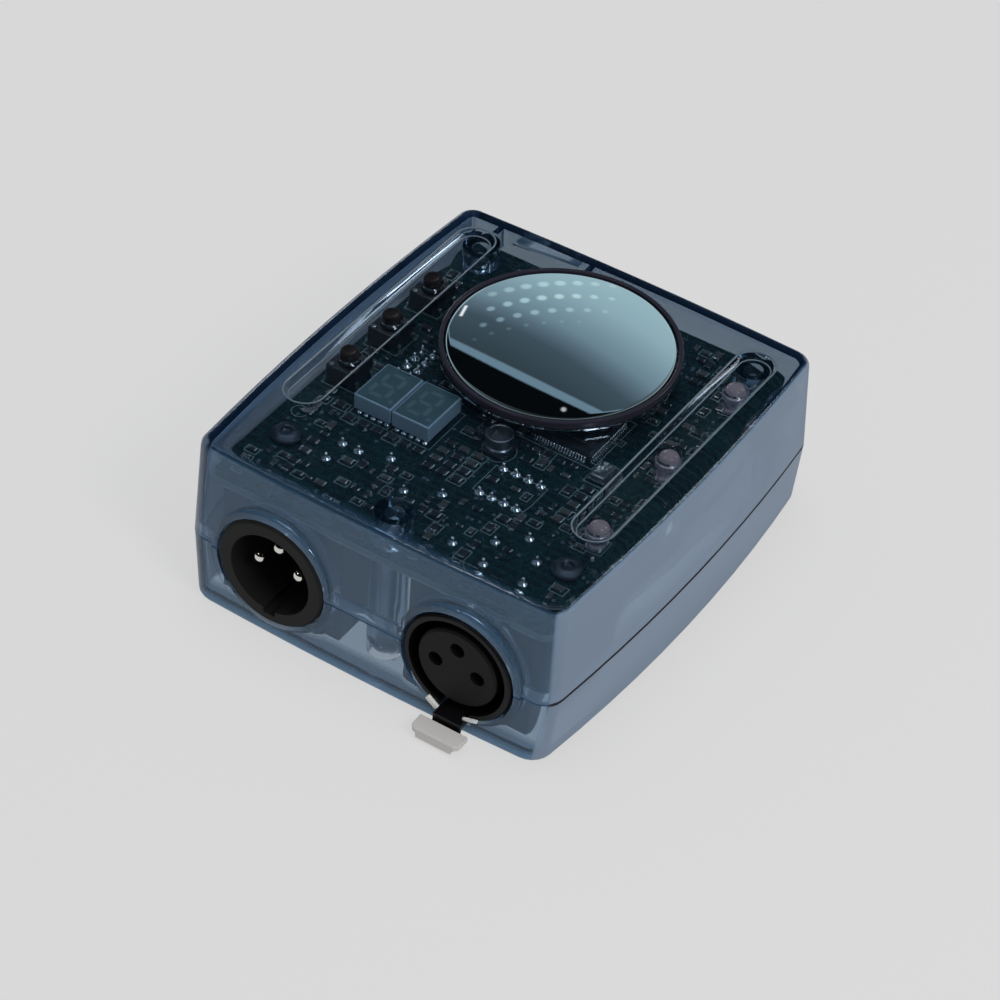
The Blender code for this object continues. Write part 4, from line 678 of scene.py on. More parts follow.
def free_of(places, margin):
    """Which places keep a margin from every larger part, boss and soldered lead."""
    boxes = [spread(node) for node in (*PRINTED, "capacitor", "radio_board",
                                       "connector_screw_1", "connector_screw_2")]
    low = np.array([box[0][:2] for box in boxes]) - margin
    high = np.array([box[1][:2] for box in boxes]) + margin
    inside = ((places[:, None] > low) & (places[:, None] < high)).all(2).any(1)
    leads = lead_places()[:, :2]
    screws = [middle(f"case_screw_{index}")[:2] for index in (1, 2, 3)]
    reach = np.repeat([1.1 * MM, 4.2 * MM], [len(leads), len(screws)]) + margin
    away = np.linalg.norm(places[:, None] - np.concatenate([leads, screws]), axis=2)
    return ~(inside | (away < reach).any(1))


def soldered_rows():
    """Places of the rows of like parts in front of, beside and behind the larger ones."""
    in_front = np.stack([-15.6 + (np.arange(6) - 2.5) * 2.9, np.full(6, -16.1)], -1)
    beside = np.stack(np.meshgrid(0.9 - 2.9 * np.arange(3), -14.7 + (1.5 - np.arange(4)) * 2.4),
                      -1).reshape(-1, 2)
    behind = np.stack([np.full(5, 20.6), -7.1 - 2.4 * np.arange(5)], -1)
    left = np.stack([np.full(4, -29.7), -11.9 - 2.4 * np.arange(4)], -1)
    return np.concatenate([in_front, beside, behind, left]) * MM


def strewn_parts():
    """Places on the board, half sizes and turns of the small parts, and which are ceramic."""
    random = np.random.default_rng(5)
    columns = bpy.context.scene.board_look.parts
    pitch = 64.0 / columns
    grid = np.stack(np.meshgrid(np.arange(columns) * pitch - 31.4, np.arange(-36.0, 37.0, 2.7)),
                    -1)
    places = (grid.reshape(-1, 2) + random.uniform(-0.45, 0.45, (grid.size // 2, 2))) * MM
    rows = soldered_rows()
    kept = free_of(places, 1.5 * MM) & (random.random(len(places)) < 0.62)
    kept &= (np.linalg.norm(places[:, None] - rows, axis=2) > 2.5 * MM).all(1)
    places = np.concatenate([rows, places[kept]])
    total = len(places)
    size = random.choice(3, total, p=(0.45, 0.35, 0.2))
    halves = np.array([(0.8, 0.42, 0.22), (1.0, 0.62, 0.27), (0.62, 0.32, 0.2)])[size] * MM
    halves[:len(rows)] = np.array([1.0, 0.62, 0.27]) * MM
    turns = random.choice(2, total, p=(0.55, 0.45)) * math.pi / 2
    turns[:len(rows)] = 0.0
    tall = random.random(total) < 0.45
    return on_board(places), halves, turns, tall


def strewn_frames():
    """Centres and half sizes of the printed frames: round every third small part, the chips and
    the status lights."""
    places, halves, turns, _ = strewn_parts()
    along = np.abs(np.cos(turns)) > 0.5
    half_x = np.where(along, halves[:, 0], halves[:, 1]) + 0.42 * MM
    half_y = np.where(along, halves[:, 1], halves[:, 0]) + 0.42 * MM
    chosen = np.arange(len(places)) % 3 == 0
    boxes = [spread(node) for node in (*PRINTED, "line_driver")]
    centres = np.array([(low + high) / 2 for low, high in boxes])
    sizes = np.array([(high - low) / 2 for low, high in boxes]) + 0.55 * MM
    sizes[0] += 0.9 * MM
    lamps = np.array([middle(f"status_light_{index}") for index in (1, 2, 3)])
    x = np.concatenate([places[chosen, 0], centres[:, 0], lamps[:, 0]])
    y = np.concatenate([places[chosen, 1], centres[:, 1], lamps[:, 1]])
    half_x = np.concatenate([half_x[chosen], sizes[:, 0], np.full(3, 2.1 * MM)])
    half_y = np.concatenate([half_y[chosen], sizes[:, 1], np.full(3, 1.9 * MM)])
    return x, y, half_x, half_y


# Pieces

def settle(mesh, solid=False, trim=None):
    """Merges doubles and turns all faces outwards. In a copied solid it also joins the triangles of
    a plane, after trim has taken off what the copy doesn't need."""
    work = bmesh.new()
    work.from_mesh(mesh)
    bmesh.ops.remove_doubles(work, verts=work.verts, dist=SOLID_WELD if solid else WELD)
    if trim:
        trim(work)
    if solid:
        bmesh.ops.dissolve_limit(work, angle_limit=math.radians(0.3), verts=work.verts,
                                 edges=work.edges)
    bmesh.ops.recalc_face_normals(work, faces=work.faces)
    work.to_mesh(mesh)
    work.free()


def placed(name, data):
    """A new object in the scene."""
    made = bpy.data.objects.new(name, data)
    bpy.context.scene.collection.objects.link(made)
    return made


def add_piece(name, mesh, finish, body, replaces, crease, bevel):
    """Puts a settled mesh into the scene: smooth but for creases, riding on its body."""
    mesh.shade_smooth()
    mesh.set_sharp_from_angle(angle=math.radians(crease))
    mesh.materials.clear()
    mesh.materials.append(finish)
    made = placed(name, mesh)
    if bevel:
        eased = made.modifiers.new("eased_edges", "BEVEL")
        eased.width = bevel
        eased.segments = 2
        eased.limit_method = "ANGLE"
        eased.angle_limit = math.radians(crease)
    weighted = made.modifiers.new("even_shading", "WEIGHTED_NORMAL")
    weighted.keep_sharp = True
    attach(made, body)
    if replaces:
        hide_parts(*replaces)
    return made


def surface(name, finish, slot, *grids, body="case", replaces=(), crease=CREASE, loop=False):
    """A piece made of new closed surfaces."""
    mesh = mesh_of(name, *grids, loop=loop)
    settle(mesh)
    return add_piece(name, mesh, finish, body, replaces, crease, 0.0)


def solid_copy(name, node, finish, body="case", crease=CREASE, bevel=0.0, trim=None):
    """A merged and smoothed copy of a solid, which it replaces."""
    mesh = frame["nodes"][node].data.copy()
    mesh.name = name
    settle(mesh, True, trim)
    return add_piece(name, mesh, finish, body, (node,), crease, bevel)


def middle(node):
    """Centre of a solid's box."""
    low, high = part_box(node)
    return np.array((low + high) / 2)


def spread(node):
    """Lowest and highest corner of a solid's box as arrays."""
    low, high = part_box(node)
    return np.array(low), np.array(high)


def round_size(node):
    """Radius, foot and top of a round upright solid."""
    low, high = spread(node)
    return (high[0] - low[0]) / 2, low[2], high[2]


def crown_sphere():
    """Radius of the cap, level of its crown and radius of the crown's sphere."""
    radius, _, top = round_size("dome_cap")
    return radius, top, (radius ** 2 + CROWN_RISE ** 2) / (2 * CROWN_RISE)


def checked(adds):
    """Makes an execute raise an error unless it adds as many objects as adds says, and each mesh
    among them has faces and a material."""
    def wrap(build):
        def execute(self, context):
            before = set(bpy.data.objects.keys())
            build(self, context)
            added = [made for made in bpy.data.objects if made.name not in before]
            empty = [made.name for made in added if made.type == "MESH"
                     and not (len(made.data.polygons) and len(made.data.materials))]
            if len(added) != adds or empty:
                raise RuntimeError(f"{self.bl_label} made {len(added)} of {adds}, empty: {empty}")
            return {"FINISHED"}
        return execute
    return wrap


class Undoable:
    """What every operator shares."""

    bl_options = {"REGISTER", "UNDO"}


class CONTROLLER_OT_shells(Undoable, bpy.types.Operator):
    """Makes the two see-through halves of the case"""

    bl_idname = "controller.shells"
    bl_label = "Shells"

    @checked(2)
    def execute(self, context):
        finish = smoky_plastic(context.scene.shell_look)
        for name, node in (("upper_shell", "lid_shell"), ("lower_shell", "base_shell")):
            solid_copy(name, node, finish, crease=28.0)


class CONTROLLER_OT_lips(Undoable, bpy.types.Operator):
    """Makes the polished rounded lips of the two pockets in the top, pale as a painted highlight"""

    bl_idname = "controller.lips"
    bl_label = "Pocket lips"

    @checked(2)
    def execute(self, context):
        # The lips' pale colour is a painted highlight along the pockets' rims, on top of their real
        # gloss
        finish = moulded("polished_lip", context.scene.top_look.lip, 0.12, spread=0.08)
        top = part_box("lid_shell")[1].z
        floor = top - 1.4 * MM
        middle_y = (middle("status_light_1")[1] + middle("status_light_3")[1]) / 2 + 2.3 * MM
        for name, x in (("left", -1), ("right", 1)):
            place = np.array([x * abs(middle("status_light_2")[0]), middle_y, 0.0])
            surface(f"{name}_pocket_lip", finish, "smoky_case",
                    self.lip(3.9 * MM, top - 0.17 * MM, 0.19 * MM) + place,
                    self.lip(3.02 * MM, floor + 0.02 * MM, 0.14 * MM) + place,
                    crease=80.0, loop=True)

    def lip(self, radius, height, thick):
        """A round rod carried along a round-ended outline: point (i, j) is P_i + t cos b_j N_i
        + t sin b_j Z, with N_i the outward direction (cos a, sin a) of the outline's point P_i."""
        straight = 26.4 * MM
        angle = np.concatenate([np.linspace(0, math.pi, 25), np.linspace(math.pi, ROUND, 25)])
        outward = np.stack([np.cos(angle), np.sin(angle), 0 * angle], -1)
        path = outward * radius + (0, 0, height)
        path[:, 1] += np.repeat([straight, -straight], 25)
        turn = np.arange(12) * ROUND / 12
        return (path[:, None] + thick * np.cos(turn)[:, None] * outward[:, None]
                + thick * np.sin(turn)[:, None] * (0, 0, 1))


class CONTROLLER_OT_cap(Undoable, bpy.types.Operator):
    """Makes the domed cap and the ring round it"""

    bl_idname = "controller.cap"
    bl_label = "Cap and ring"

    @checked(2)
    def execute(self, context):
        look = context.scene.cap_look
        centre = middle("dome_cap") * (1, 1, 0)
        radius, top, sphere = crown_sphere()
        foot = round_size("dome_cap")[1]
        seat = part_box("lid_shell")[1].z + 0.02 * MM
        edge = top - CROWN_RISE
        out = np.linspace(0, radius - look.rim, 40)
        crown = np.stack([out, top - sphere + np.sqrt(sphere ** 2 - out ** 2)], -1)
        spigot, hollow, roof = radius - 1.8 * MM, radius - 3.4 * MM, edge - 0.8 * MM
        rim = rounded([crown[-1], (radius, edge - 0.1 * MM), (radius, seat), (spigot, seat),
                       (spigot, foot), (hollow, foot), (hollow, roof), (0.0, roof)],
                      look.rim, 4)
        surface("cap", mirror_plastic(look), "mirror_dome",
                turned(np.concatenate([crown, rim[1:]]), 144) + centre, replaces=("dome_cap",))

        outer, foot, top = round_size("dome_ring")
        inner = outer - 0.85 * MM
        section = rounded([(inner, foot), (outer, foot), (outer, top), (inner, top)], 0.36 * MM, 5,
                          loop=True)
        ring = moulded("ring_plastic", look.ring, 0.22, spread=0.1, shine=0.35)
        surface("cap_ring", ring, "smoky_ring", turned(section, 144) + centre,
                replaces=("dome_ring",), loop=True)


class CONTROLLER_OT_sockets(Undoable, bpy.types.Operator):
    """Makes the two round sockets with their pins, insert, contacts and clips"""

    bl_idname = "controller.sockets"
    bl_label = "Sockets"

    @checked(13)
    def execute(self, context):
        look = context.scene.socket_look
        grain = 0.002 * MM
        charcoal = moulded("charcoal_moulding", look.charcoal, 0.5, depth=grain, shine=0.12)
        black = moulded("black_moulding", look.black, 0.36, depth=grain, shine=0.15)
        face = moulded("insert_moulding", look.insert, 0.5, depth=grain, shine=0.12)
        plating = plated("plated_contact", look.plating, 0.12)
        bare = bpy.data.materials["plated_steel"]
        solid_copy("pin_socket", "male_housing", charcoal, bevel=0.12 * MM)
        solid_copy("pin_socket_floor", "male_pin_base", black)
        solid_copy("hole_socket", "female_housing", black)
        solid_copy("hole_insert", "female_insert", face, crease=20.0)
        for index in (1, 2, 3):
            self.pin(f"plug_pin_{index}", f"male_pin_{index}", plating, look.pin_tip)
        for index in (1, 2, 3):
            solid_copy(f"sleeve_{index}", f"female_contact_{index}", plating)
        # Pale clips: their tone is partly their metal and partly a painted glint
        self.clips(moulded("clip_metal", look.clip, 0.30, depth=0.004 * MM, spread=0.05))
        solid_copy("latch_axle", "latch_pin", bare, bevel=0.08 * MM)
        solid_copy("latch_coil", "latch_spring", bare)

    def pin(self, name, node, plating, tip):
        """A pin of length l: a straight side, then a quarter of an ellipse,
        (r cos a, l - h + h sin a), with h the height of the tip."""
        low, high = spread(node)
        radius = (high[0] - low[0]) / 2
        rise = np.linspace(0, math.pi / 2, 10)
        dome = np.stack([radius * np.cos(rise), high[1] - low[1] - tip * (1 - np.sin(rise))], -1)
        profile = np.concatenate([[(0.0, 0.0), (radius, 0.0)], dome])
        foot = (middle(node)[0], high[1], middle(node)[2])
        surface(name, plating, "plated_contact", forward(turned(profile, 40)) + foot,
                replaces=(node,), crease=60.0)

    def clips(self, metal):
        """Two short bright blocks in front of the socket's face, one on each side of the latch.
        Their pale tone is partly their metal and partly a painted glint.
        """
        x, face_y = middle("female_insert")[0], spread("female_housing")[0][1]
        centres = [(x - 4.1 * MM, 3.9 * MM, 0.0), (x + 3.6 * MM, 4.0 * MM, 0.0)]
        halves = np.array([(1.35, 0.48, 0.34), (1.5, 0.26, 0.32)]) * MM
        grid = forward(blocks(centres, halves, 0.15 * MM, (-0.65, 0.30)))
        surface("hole_socket_clips", metal, "steel", grid + (0.0, face_y - 0.40 * MM, 0.0))


class CONTROLLER_OT_latch(Undoable, bpy.types.Operator):
    """Makes the latch's arm and its pale thumb tab"""

    bl_idname = "controller.latch"
    bl_label = "Latch"

    @checked(2)
    def execute(self, context):
        look = context.scene.socket_look
        black = moulded("latch_moulding", look.black, 0.36)
        # The tab's pale tone is partly its satin metal and partly a painted reflection of the pale
        # floor
        satin = moulded("satin_tab", look.tab, 0.42, depth=0.004 * MM, spread=0.04)
        solid_copy("latch_lever", "latch_arm", black, "latch", bevel=0.1 * MM)
        solid_copy("thumb_tab", "latch_tab", satin, "latch", bevel=0.16 * MM)


class CONTROLLER_OT_board(Undoable, bpy.types.Operator):
    """Makes the lacquered circuit board with its print, plated holes and solder"""

    bl_idname = "controller.board"
    bl_label = "Circuit board"

    @checked(6)
    def execute(self, context):
        look = context.scene.board_look
        made = solid_copy("board", "circuit_board", board_lacquer(look),
                          trim=self.bare)
        mesh = made.data
        mesh.materials.append(fibre_edge(look))
        upright = np.zeros(len(mesh.polygons) * 3)
        mesh.polygons.foreach_get("normal", upright)
        cut = np.abs(upright.reshape(-1, 3)[:, 2]) < 0.5
        mesh.polygons.foreach_set("material_index", cut.astype(np.int32))
        solder = plated("bright_solder", look.solder, 0.14)
        self.joints(solder)
        self.vias(solder)
        self.printed(plain_print(look))

    def bare(self, work):
        """Takes off everything that stands on the board's top, and closes the top again."""
        above = [face for face in work.faces
                 if face.calc_center_median().z > BOARD_TOP + 0.02 * MM]
        bmesh.ops.delete(work, geom=above, context="FACES")
        open_edges = [edge for edge in work.edges if edge.is_boundary]
        bmesh.ops.holes_fill(work, edges=open_edges, sides=0)

    def joints(self, solder):
        """Solder round each lead: a hollow cone, r = 0.32 + 0.63 (1 - u)^2.2 mm at 0.95 u mm."""
        up = np.linspace(0, 1, 7)
        cone = np.stack([0.32 + 0.63 * (1 - up) ** 2.2, 0.95 * up], -1)
        profile = np.concatenate([[(0.0, -0.1), (0.95, -0.1)], cone,
                                  [(0.30, 1.08), (0.20, 1.22), (0.0, 1.28)]]) * MM
        surface("solder_joints", solder, "plated_contact",
                repeated(turned(profile, 16), lead_places()), crease=70.0)

    def vias(self, solder):
        """Small plated rings strewn over the board."""
        random = np.random.default_rng(11)
        places = random.uniform((-32.5, -37.0), (32.5, 37.0), (460, 2)) * MM
        places = on_board(places[free_of(places, 0.6 * MM)])
        ring = np.array([(0.12, -0.05), (0.34, -0.05), (0.34, 0.02), (0.12, 0.02)]) * MM
        surface("plated_holes", solder, "plated_contact", repeated(turned(ring, 10), places),
                loop=True)

    def printed(self, finish):
        """Pale lines round the parts, rings round the round ones, and a strip at the front edge."""
        x, y, half_x, half_y = strewn_frames()
        line = 0.075 * MM
        level = np.full(len(x), BOARD_TOP + 0.012 * MM)
        thin = np.full(len(x), 0.012 * MM)
        wide = np.full(len(x), line)
        bars, halves = [], []
        for side in (-1, 1):
            bars += [np.stack([x, y + side * half_y, level], -1),
                     np.stack([x + side * half_x, y, level], -1)]
            halves += [np.stack([half_x + line, wide, thin], -1),
                       np.stack([wide, half_y - line, thin], -1)]
        lines = blocks(np.concatenate(bars), np.concatenate(halves), 0.01 * MM, steps=1)
        surface("printed_lines", finish, "ceramic", lines)
        ring = np.array([(-line, 0.0), (line, 0.0), (line, 0.02 * MM), (-line, 0.02 * MM)])
        places = (middle("capacitor"), np.array([17.7, 0.3]) * MM, np.array([-31.0, -19.6]) * MM)
        rings = [turned(ring + (radius * MM, 0), 40) + (*place[:2], BOARD_TOP)
                 for place, radius in zip(places, (3.1, 0.9, 1.5))]
        surface("printed_rings", finish, "ceramic", *rings, loop=True)
        low, high = spread("circuit_board")
        strip = blocks((0.0, low[1] + 0.02 * MM, BOARD_TOP - 1.5 * MM),
                       (high[0] - 2.5 * MM, 0.14 * MM, 0.10 * MM), 0.05 * MM)
        surface("edge_strip", finish, "ceramic", strip)


class CONTROLLER_OT_small_parts(Undoable, bpy.types.Operator):
    """Makes the small flat parts that are strewn over the board"""

    bl_idname = "controller.small_parts"
    bl_label = "Small parts"

    @checked(3)
    def execute(self, context):
        look = context.scene.board_look
        dark = moulded("resistor_body", look.chip, 0.3, 1500.0)
        tan = moulded("ceramic_body", look.ceramic, 0.35, 1500.0)
        ends = plated("part_ends", darker(look.solder, 0.5), 0.26, 2500.0)
        places, halves, turns, tall = strewn_parts()
        for name, chosen, finish in (("resistor_bodies", ~tall, dark),
                                     ("ceramic_bodies", tall, tan)):
            centres = places[chosen] + (0, 0, 1) * halves[chosen][:, 2:]
            surface(name, finish, "ceramic",
                    blocks(centres, halves[chosen], 0.06 * MM, turns[chosen], 1))
        both = np.tile(halves * (0.2, 1.0, 1.0) + (0.0, 0.03 * MM, 0.02 * MM), (2, 1))
        reach = halves[:, 0] * 0.86
        aside = np.stack([np.cos(turns), np.sin(turns), 0 * turns], -1) * reach[:, None]
        centres = np.concatenate([places + aside, places - aside])
        centres = centres + (0, 0, 1) * np.tile(halves, (2, 1))[:, 2:]
        surface("part_ends", ends, "plated_contact",
                blocks(centres, both, 0.08 * MM, np.tile(turns, 2), 1))


class CONTROLLER_OT_chips(Undoable, bpy.types.Operator):
    """Makes the processor with its fine legs, the crystal, the capacitors and the parts below"""

    bl_idname = "controller.chips"
    bl_label = "Chips and capacitors"

    @checked(13)
    def execute(self, context):
        look = context.scene.board_look
        chip = moulded("chip_moulding", look.chip, 0.42, 1200.0)
        legs = plated("chip_legs", look.solder, 0.22, 3000.0)
        can = plated("can_metal", darker(look.solder, 0.4), 0.30, 1200.0)
        self.processor(chip, legs, can)
        self.crystal(can)
        self.can("board_capacitor", "capacitor", can, chip, 1)
        self.can("tall_capacitor", "reservoir_capacitor", can, chip, -1)
        solid_copy("data_driver", "line_driver", chip, bevel=0.1 * MM)
        solid_copy("power_regulator", "voltage_regulator", chip, bevel=0.1 * MM)
        solid_copy("radio_plate", "radio_board", board_lacquer(look))
        solid_copy("radio_cover", "radio_shield", can, bevel=0.25 * MM)
        aerial = moulded("aerial_ceramic", (0.42, 0.45, 0.44), 0.35)
        solid_copy("radio_aerial", "radio_antenna", aerial, bevel=0.12 * MM)

    def processor(self, chip, legs, lid):
        """A flat body, a bright plate on it, and four rows of legs bent down to the board."""
        low, high = spread("processor")
        centre, half = (low + high) / 2, (high - low) / 2
        body = blocks(centre, half - (0.05 * MM, 0.05 * MM, 0), 0.22 * MM, steps=3)
        surface("processor_body", chip, "black_plastic", body, replaces=("processor",))
        plate = blocks((centre[0] + 0.1 * MM, centre[1] + 0.8 * MM, high[2] + 0.02 * MM),
                       (5.1 * MM, 4.6 * MM, 0.05 * MM), 0.05 * MM)
        surface("processor_lid", lid, "steel", plate)
        foot = 0.09 * MM - (low[2] - BOARD_TOP)
        bend = 0.55 * MM
        path = [(half[0] + out * MM, 0, level)
                for out, level in ((-0.2, bend), (0.35, bend), (0.62, foot), (1.15, foot))]
        leg = carried(rectangle(0.07 * MM, 0.14 * MM), rounded(path, 0.16 * MM, 3), (0.0, 1.0, 0.0))
        turns = np.repeat(np.arange(4) * math.pi / 2, 20)
        shift = np.tile((np.arange(20) - 9.5) * 0.565 * MM, 4)
        places = np.stack([centre[0] - np.sin(turns) * shift, centre[1] + np.cos(turns) * shift,
                           np.full(80, low[2])], -1)
        surface("processor_legs", legs, "plated_contact", spun(leg, places, turns))

    def crystal(self, can):
        """A flat foot and a round-cornered can on it."""
        low, high = spread("crystal")
        centre, half = (low + high) / 2, (high - low) / 2
        foot = blocks((*centre[:2], low[2] + 0.1 * MM), (half[0], half[1], 0.1 * MM), 0.08 * MM)
        top = blocks(centre + (0, 0, 0.08 * MM), half - np.array([0.2, 0.25, 0.08]) * MM,
                     0.35 * MM, steps=4)
        surface("crystal_can", can, "steel", foot, top, replaces=("crystal",))

    def can(self, name, node, metal, plastic, up):
        """A round can with a rolled groove; up is 1 on top of the board and -1 below it."""
        radius, low, high = round_size(node)
        tall = high - low
        inner = radius - 0.35 * MM
        dip = tall - 0.12 * MM
        profile = rounded([(0.0, 0.55 * MM), (radius, 0.55 * MM), (radius, 1.2 * MM),
                           (inner, 1.45 * MM), (radius, 1.7 * MM), (radius, tall), (inner, tall),
                           (radius - 0.45 * MM, dip), (0.0, dip)], 0.22 * MM, 4)
        start = np.array([*middle(node)[:2], low if up > 0 else high])
        surface(name, metal, "steel", turned(profile, 56) * (1, up, up) + start, replaces=(node,))
        foot = blocks(start + (0, 0, up * 0.27 * MM), (radius, radius, 0.25 * MM), 0.12 * MM)
        mark = plates(sector(radius - 0.5 * MM, 0.9), start + (0, 0, up * (tall - 0.1 * MM)),
                      0.03 * MM)
        surface(name + "_foot", plastic, "black_plastic", foot, mark)


class CONTROLLER_OT_display(Undoable, bpy.types.Operator):
    """Makes the two digits with their unlit segments and legs"""

    bl_idname = "controller.display"
    bl_label = "Display"

    @checked(8)
    def execute(self, context):
        look = context.scene.board_look
        side = moulded("display_side", look.side, 0.45, 1000.0, spread=0.06)
        face = moulded("display_face", look.face, 0.3, 1000.0, spread=0.08)
        lit = moulded("display_segment", look.segment, 0.4, 2000.0, spread=0.08)
        legs = plated("display_legs", look.solder, 0.18, 3000.0)
        base = BOARD_TOP + 0.9 * MM
        for name, node in (("left_digit", "display_digit_left"),
                           ("right_digit", "display_digit_right")):
            low, high = spread(node)
            centre = np.array([*((low + high) / 2)[:2], (base + high[2]) / 2])
            half = np.array([*((high - low) / 2)[:2], (high[2] - base) / 2])
            surface(name, side, "display_face", blocks(centre, half, 0.25 * MM, steps=3),
                    replaces=(node,))
            top = blocks((*centre[:2], high[2]),
                         (half[0] - 0.3 * MM, half[1] - 0.3 * MM, 0.03 * MM), 0.03 * MM)
            surface(name + "_face", face, "display_face", top)
            self.segments(name, centre[0], centre[1], high[2] + 0.03 * MM, lit)
            row = (np.arange(5) - 2) * 1.45 * MM
            ends = np.repeat([-1, 1], 5) * (half[1] - 0.55 * MM)
            pins = np.stack([np.tile(row, 2) + centre[0], centre[1] + ends], -1)
            profile = np.array([(0.0, -0.1), (0.62, -0.1), (0.55, 0.2), (0.26, 0.45),
                                (0.24, 1.1), (0.0, 1.1)]) * MM
            pin = turned(rounded(profile, 0.1 * MM), 10)
            surface(name + "_legs", legs, "plated_contact", repeated(pin, on_board(pins)))

    def segments(self, name, x, y, level, finish):
        """Seven six-sided bars that make an eight, leaning a little, and a point beside it."""
        bar = np.array([(-1.35, 0.0), (-0.95, -0.42), (0.95, -0.42), (1.35, 0.0), (0.95, 0.42),
                        (-0.95, 0.42)]) * MM
        middles = np.array([(0, 3.2), (0, 0), (0, -3.2), (-1.7, 1.6), (1.7, 1.6), (-1.7, -1.6),
                            (1.7, -1.6)])
        turns = np.array([0, 0, 0, 1, 1, 1, 1]) * math.pi / 2
        lean = np.array([1.0, 0.0]) * middles[:, 1:] * 0.12
        flat = (middles + lean - (0.3, 0)) * MM + (x, y)
        centres = np.concatenate([flat, np.full((7, 1), level)], 1)
        dot = turned(np.array([(0.0, 0.0), (0.45, 0.0), (0.45, 0.03), (0.0, 0.03)]) * MM, 20)
        surface(name + "_segments", finish, "display_face", plates(bar, centres, 0.03 * MM, turns),
                dot + (x + 2.6 * MM, y - 3.3 * MM, level))


class CONTROLLER_OT_buttons(Undoable, bpy.types.Operator):
    """Makes the three push buttons and the switches under them"""

    bl_idname = "controller.buttons"
    bl_label = "Buttons and switches"

    @checked(9)
    def execute(self, context):
        look = context.scene.top_look
        rubber = moulded("button_top", look.button, 0.38, 1500.0)
        body = moulded("switch_body", darker(look.button, 1.6), 0.45)
        for index in (1, 2, 3):
            node = f"button_{index}"
            radius, foot, top = round_size(node)
            tall = top - foot
            profile = rounded([(0.0, 0.0), (radius, 0.0), (radius, tall), (radius * 0.62, tall),
                               (radius * 0.55, tall - 0.12 * MM), (0.0, tall - 0.16 * MM)],
                              0.34 * MM, 5)
            surface(f"push_button_{index}", rubber, "black_plastic",
                    turned(profile, 48) + (*middle(node)[:2], foot), body=node, replaces=(node,))
            solid_copy(f"switch_body_{index}", f"switch_{index}", body,
                       bevel=0.15 * MM)
            self.clips(f"switch_clips_{index}", f"switch_{index}")

    def clips(self, name, node):
        """The four legs of a switch and the corner rivets of its cover."""
        low, high = spread(node)
        centre, half = (low + high) / 2, (high - low) / 2
        corner = np.array([(-1, -1), (1, -1), (1, 1), (-1, 1)])
        rivet = rounded(np.array([(0.0, -0.1), (0.45, -0.1), (0.45, 0.12), (0.0, 0.12)]) * MM,
                        0.1 * MM)
        places = np.concatenate([centre[:2] + corner * (half[:2] - 0.75 * MM),
                                 np.full((4, 1), high[2])], 1)
        path = [(half[0] + out * MM, 0, level * MM)
                for out, level in ((-0.3, 1.2), (0.3, 1.2), (0.45, 0.1), (0.95, 0.1))]
        leg = carried(rectangle(0.1 * MM, 0.35 * MM), rounded(path, 0.2 * MM), (0.0, 1.0, 0.0))
        rows = np.array([(0, 1), (0, -1), (math.pi, 1), (math.pi, -1)])
        feet = on_board(np.stack([np.full(4, centre[0]), centre[1] + rows[:, 1] * 2.2 * MM], -1))
        surface(name, bpy.data.materials["plated_steel"], "steel",
                repeated(turned(rivet, 16), places), spun(leg, feet, rows[:, 0]))


class CONTROLLER_OT_lights(Undoable, bpy.types.Operator):
    """Makes the three light domes and the small lamps under them"""

    bl_idname = "controller.lights"
    bl_label = "Status lights"

    @checked(4)
    def execute(self, context):
        lens = clear_lens(context.scene.top_look)
        pale = moulded("lamp_body", (0.62, 0.62, 0.58), 0.4, 1500.0, spread=0.05)
        half = np.array([1.6, 1.4, 0.45]) * MM
        centres = []
        for index in (1, 2, 3):
            node = f"status_light_{index}"
            solid_copy(f"light_dome_{index}", node, lens, crease=50.0)
            centres.append((*middle(node)[:2], BOARD_TOP + half[2]))
        surface("small_lamps", pale, "ceramic", blocks(centres, half, 0.12 * MM))


class CONTROLLER_OT_fixings(Undoable, bpy.types.Operator):
    """Makes the screws and the power inlet"""

    bl_idname = "controller.fixings"
    bl_label = "Screws and power inlet"

    @checked(7)
    def execute(self, context):
        steel = bpy.data.materials["plated_steel"]
        dark = plated("blackened_steel", context.scene.top_look.dark_steel, 0.42)
        for index in (1, 2, 3):
            solid_copy(f"long_screw_{index}", f"case_screw_{index}", steel,
                       bevel=0.12 * MM)
        for index in (1, 2):
            solid_copy(f"short_screw_{index}", f"connector_screw_{index}", dark,
                       bevel=0.25 * MM)
        black = moulded("inlet_moulding", context.scene.socket_look.black, 0.4)
        solid_copy("inlet_body", "power_inlet", black, bevel=0.12 * MM)
        solid_copy("inlet_pin", "power_inlet_pin", bpy.data.materials["plated_contact"],
                   crease=60.0)


